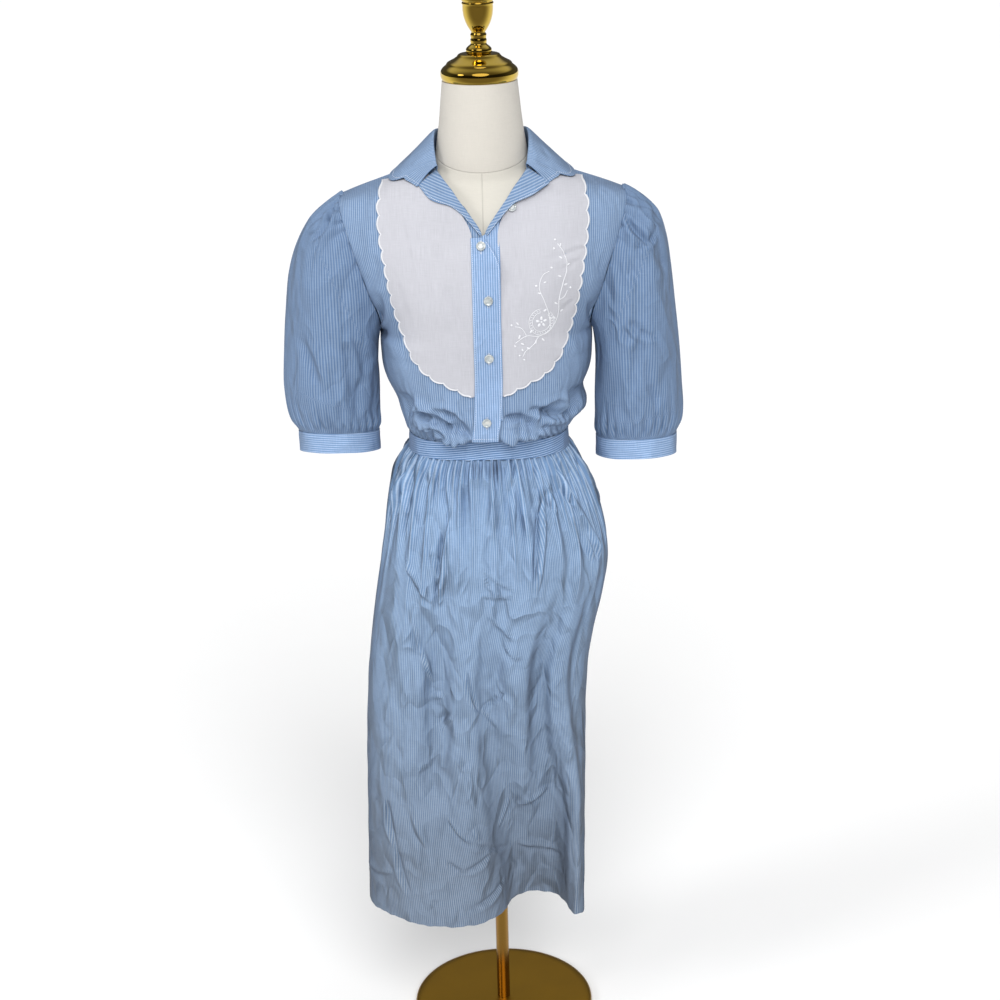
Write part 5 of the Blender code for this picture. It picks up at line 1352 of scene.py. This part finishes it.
# Creases by share round the panel and height; long falls first, then the pressed and crushed ones
skirtCreases = {
    "front": dict(
        a0=(0.346, 0.359, 0.605, 0.686, 0.682, 0.765, 0.795, 0.130, 0.276, 0.216, 0.463, 0.530, 0.416,
            0.791, 0.206, 0.255, 0.294, 0.464, 0.470, 0.463, 0.494, 0.563, 0.448, 0.507, 0.499, 0.405,
            0.596, 0.310, 0.412, 0.277, 0.362, 0.436, 0.342, 0.389, 0.438, 0.261, 0.175, 0.196, 0.384,
            0.613, 0.596, 0.537, 0.045, 0.700),
        b0=(0.946, 0.877, 0.939, 0.937, 0.893, 0.929, 0.877, 0.934, 0.934, 0.936, 0.944, 0.940, 0.920,
            0.917, 0.808, 0.711, 0.832, 0.804, 0.788, 0.762, 0.729, 0.676, 0.639, 0.571, 0.571, 0.564,
            0.580, 0.584, 0.498, 0.475, 0.398, 0.356, 0.323, 0.307, 0.388, 0.407, 0.413, 0.338, 0.238,
            0.396, 0.321, 0.364, 0.277, 0.911),
        a1=(0.356, 0.338, 0.561, 0.680, 0.628, 0.795, 0.838, 0.080, 0.268, 0.196, 0.462, 0.521, 0.373,
            0.874, 0.317, 0.328, 0.334, 0.563, 0.523, 0.555, 0.601, 0.623, 0.487, 0.557, 0.584, 0.344,
            0.594, 0.372, 0.445, 0.320, 0.436, 0.565, 0.389, 0.476, 0.458, 0.297, 0.196, 0.228, 0.528,
            0.705, 0.744, 0.584, 0.171, 0.722),
        b1=(0.877, 0.740, 0.858, 0.888, 0.760, 0.877, 0.790, 0.835, 0.887, 0.831, 0.898, 0.860, 0.895,
            0.782, 0.743, 0.613, 0.772, 0.767, 0.757, 0.756, 0.687, 0.657, 0.572, 0.538, 0.604, 0.531,
            0.557, 0.593, 0.475, 0.485, 0.357, 0.317, 0.307, 0.328, 0.359, 0.346, 0.338, 0.256, 0.269,
            0.418, 0.299, 0.409, 0.290, 0.872),
        deep=(0.0026, 0.0030, 0.0020, 0.0024, 0.0034, 0.0024, 0.0022, 0.0024, 0.0016, 0.0016, 0.0004,
              0.0006, 0.0004, 0.0022, 0.0016, 0.0016, 0.0012, 0.0014, 0.0012, 0.0012, 0.0014, 0.0012,
              -0.0018, 0.0014, -0.0012, 0.0010, 0.0010, 0.0008, 0.0010, 0.0008, 0.0014, -0.0010, -0.0016,
              -0.0016, 0.0010, 0.0012, -0.0016, -0.0014, -0.0014, 0.0016, 0.0010, 0.0012, 0.0010, 0.0018),
        wide=(0.0055, 0.0060, 0.0055, 0.0045, 0.0060, 0.0055, 0.0070, 0.0060, 0.0050, 0.0060, 0.0045,
              0.0050, 0.0050, 0.0070, 0.0050, 0.0045, 0.0045, 0.0045, 0.0040, 0.0040, 0.0045, 0.0040,
              0.0040, 0.0040, 0.0045, 0.0050, 0.0040, 0.0050, 0.0040, 0.0050, 0.0040, 0.0040, 0.0040,
              0.0040, 0.0040, 0.0070, 0.0060, 0.0060, 0.0045, 0.0040, 0.0045, 0.0045, 0.0050, 0.0045),
        bend=(0.002, 0.003, 0.002, 0.001, 0.004, 0.002, 0.002, 0.003, 0.001, 0.002, 0.0, 0.001, 0.001,
              0.003, 0.004, 0.003, 0.002, 0.003, 0.002, 0.001, 0.004, 0.002, 0.004, 0.001, 0.003, 0.002,
              0.001, 0.001, 0.001, 0.001, 0.002, 0.003, 0.002, 0.003, 0.001, 0.003, 0.002, 0.002, 0.003,
              0.003, 0.002, 0.002, 0.002, 0.001)),
    "back": dict(
        a0=(0.120, 0.260, 0.330, 0.450, 0.520, 0.640, 0.760, 0.860, 0.300, 0.520, 0.700, 0.410, 0.620,
            0.240, 0.480, 0.350, 0.580, 0.740, 0.180, 0.660),
        b0=(0.930, 0.935, 0.900, 0.938, 0.890, 0.934, 0.930, 0.920, 0.800, 0.770, 0.740, 0.640, 0.600,
            0.560, 0.500, 0.410, 0.380, 0.340, 0.300, 0.270),
        a1=(0.090, 0.250, 0.340, 0.440, 0.540, 0.650, 0.790, 0.890, 0.380, 0.460, 0.640, 0.500, 0.550,
            0.330, 0.430, 0.450, 0.640, 0.660, 0.290, 0.570),
        b1=(0.820, 0.850, 0.780, 0.840, 0.760, 0.830, 0.840, 0.810, 0.730, 0.700, 0.690, 0.590, 0.560,
            0.520, 0.430, 0.390, 0.350, 0.320, 0.280, 0.290),
        deep=(0.0026, 0.0024, 0.0030, 0.0024, 0.0030, 0.0022, 0.0026, 0.0022, 0.0016, 0.0014, 0.0014,
              0.0016, 0.0012, 0.0014, 0.0014, 0.0014, 0.0012, 0.0014, 0.0012, 0.0012),
        wide=(0.006, 0.0055, 0.006, 0.005, 0.006, 0.0055, 0.006, 0.006, 0.0045, 0.005, 0.0045, 0.0045,
              0.004, 0.0045, 0.005, 0.004, 0.0045, 0.004, 0.005, 0.0045),
        bend=(0.003, 0.001, 0.003, 0.001, 0.003, 0.002, 0.002, 0.003, 0.004, 0.002, 0.003, 0.004, 0.002,
              0.003, 0.002, 0.003, 0.002, 0.003, 0.002, 0.002)),
}


def skirtRelief(part):
    seed = 0.3 if part == "front" else 1.7

    def relief(u, v, net):
        z = skirt["hem"] + (skirt["top"] - skirt["hem"]) * v
        fall = skirt["top"] - z
        side = ease(u / 0.035) * ease((1 - u) / 0.035)
        gather = pleatProfile(2 * np.pi * skirt["gathers"] * u + uneven(u * 2, seed, 2.2))
        reach = 0.048 + 0.022 * uneven(u * 4, seed + 2)
        height = 0.0080 * gather * np.exp(-(fall / reach) ** 1.7) * (0.45 + 0.55 * ease(fall / 0.010))
        drape = pleatProfile(2 * np.pi * skirt["folds"] * u + uneven(u * 2, seed + 4, 2.6))
        drapeReach = 0.150 + 0.060 * uneven(u * 3, seed + 1)
        height = height + 0.0074 * drape * np.exp(-(fall / drapeReach) ** 2.2) * ease((fall - 0.006) / 0.04)
        flat = skirt["flatHalf"]
        table = {key: np.array(value) * (flat if key in ("a0", "a1") else 1)
                 for key, value in skirtCreases[part].items()}
        height = height + 3.0 * creaseHeight(u * flat, z, table)
        crush = (0.0005 * np.sin(53 * u + 31 * z + seed) * np.sin(23 * u - 67 * z + 2 * seed)
                 * ease(fall / 0.2))
        hem = -0.0004 * np.exp(-((z - skirt["hem"] - skirt["hemDepth"]) / 0.0016) ** 2)
        return (height + crush) * side + hem
    return relief


skirtParts = []
for word in ("front", "back"):
    piece = clothGrid("skirt" + word.capitalize(), 216, 184, skirtShape(word), skirtCotton, skirt["wall"],
                      flip=True, relief=skirtRelief(word), grain=(0.0, 0.5))
    skirtParts.append(finish(piece, "striped_blue_cotton", "skirt_" + word))
print("skirt made")


# Dress form and stand

torso = dict(
    z=(0.7450, 0.7520, 0.8100, 0.8800, 0.9300, 0.9750, 1.0300, 1.1100, 1.1700, 1.2200, 1.2600, 1.2850,
       1.3000, 1.3120, 1.3240, 1.3330, 1.3420, 1.3560, 1.3800, 1.4615),
    half=(0.110, 0.118, 0.126, 0.1180, 0.1105, 0.1105, 0.1150, 0.1330, 0.1420, 0.1480, 0.1520, 0.1540,
          0.1500, 0.1370, 0.1110, 0.0850, 0.0705, 0.0655, 0.0610, 0.0515),
    front=(0.070, 0.078, 0.088, 0.0880, 0.0885, 0.0930, 0.0980, 0.1110, 0.1180, 0.1120, 0.0980, 0.0860,
           0.0760, 0.0670, 0.0600, 0.0560, 0.0550, 0.0545, 0.0535, 0.0515),
    back=(0.072, 0.080, 0.092, 0.0890, 0.0830, 0.0830, 0.0880, 0.0960, 0.0990, 0.0980, 0.0920, 0.0830,
          0.0740, 0.0650, 0.0570, 0.0520, 0.0490, 0.0480, 0.0490, 0.0515),
    full=(2.2, 2.2, 2.2, 2.2, 2.2, 2.2, 2.3, 2.4, 2.4, 2.4, 2.3, 2.2, 2.1, 2.0, 2.0, 2.0, 2.0, 2.0, 2.0, 2.0),
)


def torsoShape(u, v):
    level = v * (len(torso["z"]) - 1)
    knots = np.arange(len(torso["z"]))
    z = np.interp(level, knots, torso["z"])
    full = np.interp(level, knots, torso["full"])
    half, front, back = (np.minimum(smooth(torso["z"], torso[key], z),
                                    np.interp(level, knots, torso[key]) + 0.0012)
                         for key in ("half", "front", "back"))
    angle = 2 * np.pi * np.mod(u, 1.0)
    c, s = np.cos(angle), np.sin(angle)
    x = half * np.sign(s) * np.abs(s) ** (2 / full)
    y = np.where(c > 0, -front, back) * np.abs(c) ** (2 / full)
    return np.stack([x, y, z], axis=-1)


def formPaint():
    paint, tree, shader = newMaterial("formLinen",
                                      {"Roughness": 0.88, "Sheen Weight": 0.10, "Specular IOR Level": 0.25})
    place = node(tree, "ShaderNodeTexCoord").outputs["Object"]
    parts = node(tree, "ShaderNodeSeparateXYZ", links={0: place})
    x, y, z = parts.outputs[0], parts.outputs[1], parts.outputs[2]
    weft = noise(tree, stretched(tree, place, 90.0, 90.0, 1400.0), 1.0, 2.0, 0.6)
    warp = noise(tree, stretched(tree, place, 1300.0, 1300.0, 80.0), 1.0, 2.0, 0.6)
    stain = noise(tree, place, 16.0, 4.0, 0.6)
    centreSeam = ramp(tree, maths(tree, "ABSOLUTE", x), 0.0002, 0.0011, 1.0, 0.0)
    neckLine = maths(tree, "ADD", maths(tree, "MULTIPLY", maths(tree, "ADD", y, 0.055), 0.42), 1.3440)
    below = maths(tree, "LESS_THAN", z, neckLine)
    neckSeam = ramp(tree, maths(tree, "ABSOLUTE", maths(tree, "SUBTRACT", z, neckLine)), 0.0002, 0.0012,
                    1.0, 0.0)
    seams = maths(tree, "MAXIMUM", maths(tree, "MULTIPLY", centreSeam, below), neckSeam)
    tone = maths(tree, "ADD", maths(tree, "MULTIPLY", maths(tree, "ADD", weft, warp), 0.09), 0.91)
    tone = maths(tree, "MULTIPLY", tone, maths(tree, "ADD", maths(tree, "MULTIPLY", stain, 0.10), 0.95))
    tone = maths(tree, "MULTIPLY", tone, maths(tree, "SUBTRACT", 1.0, maths(tree, "MULTIPLY", seams, 0.16)))
    colour = blend(tree, below, (0.575, 0.547, 0.495), (0.590, 0.566, 0.508))
    tree.links.new(tinted(tree, colour, tone), shader.inputs["Base Color"])
    threads = maths(tree, "MULTIPLY", maths(tree, "ADD", weft, warp), 0.4)
    height = maths(tree, "SUBTRACT", threads, maths(tree, "MULTIPLY", seams, 3.0))
    bumpTo(tree, shader, height, 0.5, 0.0003)
    return paint


def closedTorso():
    piece = clothGrid("formTorso", 96, 114, torsoShape, formPaint(), 0, ring=True)
    bm = bmesh.new()
    bm.from_mesh(piece.data)
    bmesh.ops.holes_fill(bm, edges=[edge for edge in bm.edges if edge.is_boundary], sides=0)
    bmesh.ops.recalc_face_normals(bm, faces=bm.faces)
    bm.to_mesh(piece.data)
    bm.free()
    return piece


finish(closedTorso(), "form_linen", "form_torso")


# Turned brass: fine turning lines round the axis, faint smears and a few nicks
def makeTurned():
    tree, source, sink = group("turnedWear", [("Vector", "NodeSocketVector", (0, 0, 0)),
                                              ("Lines", "NodeSocketFloat", 1.0)],
                               [(label, "NodeSocketFloat") for label in ("Tone", "Roughen", "Height")])
    vector = source.outputs["Vector"]
    smear = noise(tree, vector, 22.0, 4.0, 0.6)
    parts = node(tree, "ShaderNodeSeparateXYZ", links={0: vector})
    squareX, squareY = (maths(tree, "MULTIPLY", part, part) for part in (parts.outputs[0], parts.outputs[1]))
    radius = maths(tree, "SQRT", maths(tree, "ADD", squareX, squareY))
    ringPlace = node(tree, "ShaderNodeCombineXYZ", links={
        0: maths(tree, "MULTIPLY", radius, 1500.0), 1: maths(tree, "MULTIPLY", parts.outputs[2], 1500.0)})
    rings = noise(tree, ringPlace.outputs[0], 1.0, 1.0)
    specks = noise(tree, vector, 800.0, 2.0)
    tree.links.new(maths(tree, "ADD", maths(tree, "MULTIPLY", smear, 0.22), 0.89), sink.inputs["Tone"])
    tree.links.new(maths(tree, "MULTIPLY", maths(tree, "SUBTRACT", smear, 0.35), 0.16),
                   sink.inputs["Roughen"])
    height = maths(tree, "ADD", maths(tree, "MULTIPLY", rings, source.outputs["Lines"]),
                   maths(tree, "MULTIPLY", specks, 0.3))
    tree.links.new(height, sink.inputs["Height"])
    return tree


turnedGroup = makeTurned()


def metalPaint(name, colour, rough, lines, strength, facing=None):
    paint, tree, shader = newMaterial(name, {"Metallic": 1.0})
    place = node(tree, "ShaderNodeTexCoord").outputs["Object"]
    wear = placeGroup(tree, turnedGroup, place, Lines=lines)
    if facing:  # painted dark reflection: the metal is darker where seen head on
        turnedAway = node(tree, "ShaderNodeLayerWeight", values={"Blend": 0.42}).outputs["Facing"]
        colour = blend(tree, ramp(tree, turnedAway, 0.08, 0.42), facing, colour)
    tree.links.new(tinted(tree, colour, wear.outputs["Tone"]), shader.inputs["Base Color"])
    tree.links.new(maths(tree, "ADD", wear.outputs["Roughen"], rough, clamp=True), shader.inputs["Roughness"])
    bumpTo(tree, shader, wear.outputs["Height"], strength, 0.0001)
    return paint


# The last colour given is the painted dark reflection seen head on; the matt gold has none
goldPolish = metalPaint("polishedGold", (0.640, 0.450, 0.080), 0.05, 0.5, 0.05, (0.130, 0.080, 0.012))
goldPole = metalPaint("poleGold", (0.300, 0.170, 0.045), 0.16, 1.0, 0.10, (0.190, 0.105, 0.022))
goldMatt = metalPaint("mattGold", (0.360, 0.200, 0.020), 0.34, 1.0, 0.30)

# Turned outlines, radius and height from the top down
form = {
    "finialR": (0.0, 0.0070, 0.0125, 0.0170, 0.0196, 0.0206, 0.0212, 0.0224, 0.0229, 0.0226, 0.0214,
                0.0206, 0.0211, 0.0218, 0.0214, 0.0207, 0.0209, 0.0207, 0.0199, 0.0186, 0.0168, 0.0146,
                0.0122, 0.0102, 0.0096, 0.0098, 0.0108, 0.0112, 0.0108, 0.0104, 0.0108, 0.0113, 0.0112,
                0.0108, 0.0110, 0.0124, 0.0142, 0.0158, 0.0170, 0.0176, 0.0178, 0.0176, 0.0170, 0.0166, 0.0),
    "finialZ": (1.5870, 1.5866, 1.5852, 1.5826, 1.5790, 1.5760, 1.5744, 1.5728, 1.5708, 1.5688, 1.5672,
                1.5660, 1.5652, 1.5640, 1.5628, 1.5620, 1.5600, 1.5540, 1.5480, 1.5430, 1.5380, 1.5335,
                1.5296, 1.5268, 1.5254, 1.5244, 1.5230, 1.5214, 1.5200, 1.5180, 1.5164, 1.5150, 1.5130,
                1.5112, 1.5098, 1.5082, 1.5070, 1.5056, 1.5042, 1.5028, 1.5010, 1.4994, 1.4984, 1.4973,
                1.4973),
    "capR": (0.0, 0.0200, 0.0268, 0.0284, 0.0292, 0.0300, 0.0318, 0.0350, 0.0392, 0.0424, 0.0440, 0.0448,
             0.0454, 0.0466, 0.0486, 0.0506, 0.0522, 0.0531, 0.0534, 0.0532, 0.0526, 0.0516, 0.0504, 0.0),
    "capZ": (1.4970, 1.4970, 1.4968, 1.4960, 1.4950, 1.4938, 1.4922, 1.4902, 1.4880, 1.4864, 1.4852,
             1.4840, 1.4828, 1.4816, 1.4800, 1.4782, 1.4760, 1.4734, 1.4704, 1.4676, 1.4652, 1.4632,
             1.4618, 1.4618),
    "flangeR": (0.0, 0.0256, 0.0260, 0.0260, 0.0256, 0.0244, 0.0236, 0.0),
    "flangeZ": (0.7447, 0.7447, 0.7443, 0.7412, 0.7404, 0.7398, 0.7395, 0.7395),
    "footR": (0.0, 0.0240, 0.0700, 0.1240, 0.1290, 0.1330, 0.1362, 0.1384, 0.1396, 0.1400, 0.1400, 0.1396,
              0.1384, 0.0),
    "footZ": (0.0120, 0.0120, 0.0120, 0.0120, 0.0118, 0.0112, 0.0103, 0.0090, 0.0074, 0.0058, 0.0020,
              0.0008, 0.0, 0.0),
    "poleR": (0.0, 0.0100, 0.0100, 0.0), "poleZ": (0.7392, 0.7392, 0.0123, 0.0123),
}
for name, nodeName, outline, paint, steps, sharp, slot in (
        ("finial", "finial", "finial", goldPolish, 72, 0.9, "polished_brass"),
        ("neckCap", "neck_cap", "cap", goldPolish, 96, 0.7, "polished_brass"),
        ("poleFlange", "pole_flange", "flange", goldPole, 64, 0.7, "polished_brass"),
        ("pole", "pole", "pole", goldPole, 48, 0.7, "polished_brass"),
        ("footDisc", "base_disc", "foot", goldMatt, 128, 0.7, "dark_brass")):
    finish(lathe(name, form[outline + "R"], form[outline + "Z"], paint, steps, None, sharp), slot, nodeName)
print("form and stand made")


# Stitching, one joined mesh for each run of thread

stitchLook = {"long": 0.0019, "gap": 0.0008, "thick": 0.00032, "high": 0.00022}


def addStitches(bm, points, outs, long=None, gap=None):
    long, gap = long or stitchLook["long"], gap or stitchLook["gap"]
    run = runAlong(points)
    count = int(run[-1] / (long + gap))
    for k in range(count):
        start, end = k * (long + gap), k * (long + gap) + long
        one, other, out = (np.array([np.interp(at, run, source[:, axis]) for axis in range(3)])
                           for at, source in ((start, points), (end, points), ((start + end) / 2, outs)))
        axis, normal = Vector(other - one), Vector(out).normalized()
        length = axis.length
        if length < 1e-5:
            continue
        axis.normalize()
        sideways = normal.cross(axis).normalized()
        stretch = (axis * length / 2, sideways * stitchLook["thick"], normal * stitchLook["high"])
        place = Matrix(stretch).transposed().to_4x4()
        place.translation = Vector((one + other) / 2)
        bmesh.ops.create_uvsphere(bm, u_segments=5, v_segments=3, radius=1.0, matrix=place)


def alongSurface(shape, relief, flip, us, vs, lift=0.0):  # points and outward directions on a shaped sheet
    us, vs = np.asarray(us, float), np.asarray(vs, float)
    step = 0.003
    points = shape(us, vs)
    du = shape(np.clip(us + step, 0, 1), vs) - shape(np.clip(us - step, 0, 1), vs)
    dv = shape(us, np.clip(vs + step, 0, 1)) - shape(us, np.clip(vs - step, 0, 1))
    out = np.cross(du, dv) * (-1 if flip else 1)
    out /= np.maximum(np.linalg.norm(out, axis=1, keepdims=True), 1e-9)
    height = relief(us[None], vs[None], points[None])[0] if relief else 0.0
    return points + out * (np.asarray(height) + lift)[..., None], out


runs = []
bm = bmesh.new()
u = np.linspace(0.0, 1.0, 700)
addStitches(bm, *alongSurface(collarSurface, collarRelief, False, u, np.full_like(u, 0.94)))
for word, table, side, spring in lapelSides:
    v = np.linspace(0.02, 0.98, 300)
    addStitches(bm, *alongSurface(lapelShape(table, side, spring), lapelRelief, side < 0,
                                  np.full_like(v, 0.90), v))
runs.append(finish(meshPiece("collarStitches", bm, whiteThread), "white_cotton"))

bm = bmesh.new()
for table, share in ((topStand, 0.05), (topStand, 0.95), (underStand, 0.94)):
    v = np.linspace(0.01, 0.99, 400)
    addStitches(bm, *alongSurface(standShape(table), standRelief, False, np.full_like(v, share), v))
u = np.linspace(0.06, 0.94, 60)
addStitches(bm, *alongSurface(standShape(topStand), standRelief, False, u, np.full_like(u, 0.012)))
for place in buttonPlaces[:4]:  # upright buttonholes, bar-tacked at both ends
    for offset in (-0.0009, 0.0009):
        z = np.linspace(place["z"] - 0.0098, place["z"] + 0.0080, 30)
        x = np.full_like(z, place["x"] + offset)
        points = standPoint(topStand, x, z, 0.0002)
        outs = standPoint(topStand, x, z, 0.0012) - points
        addStitches(bm, points, outs, 0.0012, -0.0005)
runs.append(finish(meshPiece("standStitches", bm, whiteThread), "white_cotton"))

bm = bmesh.new()
for word, table, side in sleeveSides:
    u = np.linspace(0.0, 1.0, 500)
    for v in (0.07, 0.93):
        addStitches(bm, *alongSurface(cuffShape(table, side), cuffRelief, side < 0, u, np.full_like(u, v)))
u = np.linspace(0.004, 0.996, 1000)
for v in (0.07, 0.93):
    addStitches(bm, *alongSurface(bandShape, bandRelief, True, u, np.full_like(u, v)))
runs.append(finish(meshPiece("bandStitches", bm, blueThread), "striped_blue_cotton"))

bm = bmesh.new()
hemShare = skirt["hemDepth"] / (skirt["top"] - skirt["hem"])
for word in ("front", "back"):
    u = np.linspace(0.004, 0.996, 900)
    hemLine = alongSurface(skirtShape(word), skirtRelief(word), True, u, np.full_like(u, hemShare))
    addStitches(bm, *hemLine, 0.0010, 0.0050)
runs.append(finish(meshPiece("hemStitches", bm, blueThread), "striped_blue_cotton"))
print("stitching made")


# The cloth as it was cut

cuts = (
    (frontParts[0], 0.300, 0.420, 0.098, "gathered", ["formTorso", "waistBand"], []),
    (frontParts[1], 0.300, 0.420, 0.098, "gathered", ["formTorso", "waistBand"], []),
    (backPart, 0.480, 0.430, 0.182, "gathered", ["formTorso", "waistBand"], []),
    (bibParts[0], 0.127, 0.300, 0.033, "laid", ["frontRight"], [rimParts[0]]),
    (bibParts[1], 0.127, 0.300, 0.033, "laid", ["frontLeft"], [rimParts[1], embroideryPart]),
    (standParts[0], 0.040, 0.287, None, "laid", ["standUnder", "frontRight"], [runs[1]]),
    (standParts[1], 0.036, 0.283, None, "laid", ["frontLeft"], []),
    (collarPart, 0.460, 0.088, 0.038, "folded", ["back", "frontRight", "frontLeft"], [runs[0]]),
    (lapelParts[0], 0.034, 0.104, 0.0024, "folded", ["bibRight"], []),
    (lapelParts[1], 0.034, 0.104, 0.0024, "folded", ["bibLeft"], []),
    (sleeveParts[0], 0.420, 0.360, 0.136, "gathered", ["frontRight", "back"], []),
    (sleeveParts[1], 0.420, 0.360, 0.136, "gathered", ["frontLeft", "back"], []),
    (cuffParts[0], 0.350, 0.030, None, "stretched", ["sleeveRight"], []),
    (cuffParts[1], 0.350, 0.030, None, "stretched", ["sleeveLeft"], []),
    (bandPart, 0.700, 0.0255, None, "stretched", ["formTorso"], [runs[2]]),
    (skirtParts[0], 0.620, 0.745, None, "gathered", ["waistBand"], [runs[3]]),
    (skirtParts[1], 0.620, 0.745, None, "gathered", ["waistBand"], []),
)
for piece, width, length, area, held, rests, extras in cuts:
    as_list(rests)
    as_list(extras)


# Floor, light and camera

studio = {
    "floor": (0.93, 0.93, 0.93), "high": 0.62, "low": 0.08,
    "suns": (("key", 2.7, 44, 50, 4), ("side", 0.8, 18, 60, -62)),
    "lens": 74.77, "stand": (0.0135, -2.851, 1.89), "lookUp": 70.0, "roll": -1.43,
}
bm = bmesh.new()
bmesh.ops.create_grid(bm, x_segments=8, y_segments=8, size=30.0)
bmesh.ops.translate(bm, verts=bm.verts, vec=(0, 0, -0.0003))
floorPaint, floorTree, floorShader = newMaterial("paleFloor", {"Roughness": 0.9})
floorPlace = node(floorTree, "ShaderNodeTexCoord").outputs["Object"]
floorTone = maths(floorTree, "ADD",
                  maths(floorTree, "MULTIPLY", noise(floorTree, floorPlace, 6.0, 2.0), 0.01), 0.995)
floorTree.links.new(tinted(floorTree, studio["floor"], floorTone), floorShader.inputs["Base Color"])
floor = meshPiece("floor", bm, floorPaint)

world = bpy.data.worlds.new("studio")
bpy.context.scene.world = world
world.use_nodes = True
skyTree = world.node_tree
skyPlace = node(skyTree, "ShaderNodeTexCoord").outputs["Generated"]
skyUp = node(skyTree, "ShaderNodeSeparateXYZ", links={0: skyPlace}).outputs[2]
skyGlow = ramp(skyTree, skyUp, 0.40, 0.65, studio["low"], studio["high"])
skyTree.nodes["Background"].inputs[0].default_value = (1.0, 1.0, 1.0, 1.0)
skyTree.links.new(skyGlow, skyTree.nodes["Background"].inputs[1])
for name, energy, angle, tilt, turn in studio["suns"]:
    lamp = bpy.data.lights.new(name, "SUN")
    lamp.energy = energy
    lamp.angle = math.radians(angle)
    light = bpy.data.objects.new(name, lamp)
    light.rotation_euler = (math.radians(tilt), 0, math.radians(turn))
    bpy.context.scene.collection.objects.link(light)

lens = bpy.data.cameras.new("camera")
lens.sensor_width = 36.0
lens.lens = studio["lens"]
camera = bpy.data.objects.new("camera", lens)
camera.matrix_world = (Matrix.Translation(studio["stand"])
                       @ Matrix.Rotation(math.radians(studio["lookUp"]), 4, "X")
                       @ Matrix.Rotation(math.radians(studio["roll"]), 4, "Z"))
bpy.context.scene.collection.objects.link(camera)
bpy.context.scene.camera = camera
bpy.context.scene.view_settings.view_transform = "Standard"

print("scene ready")
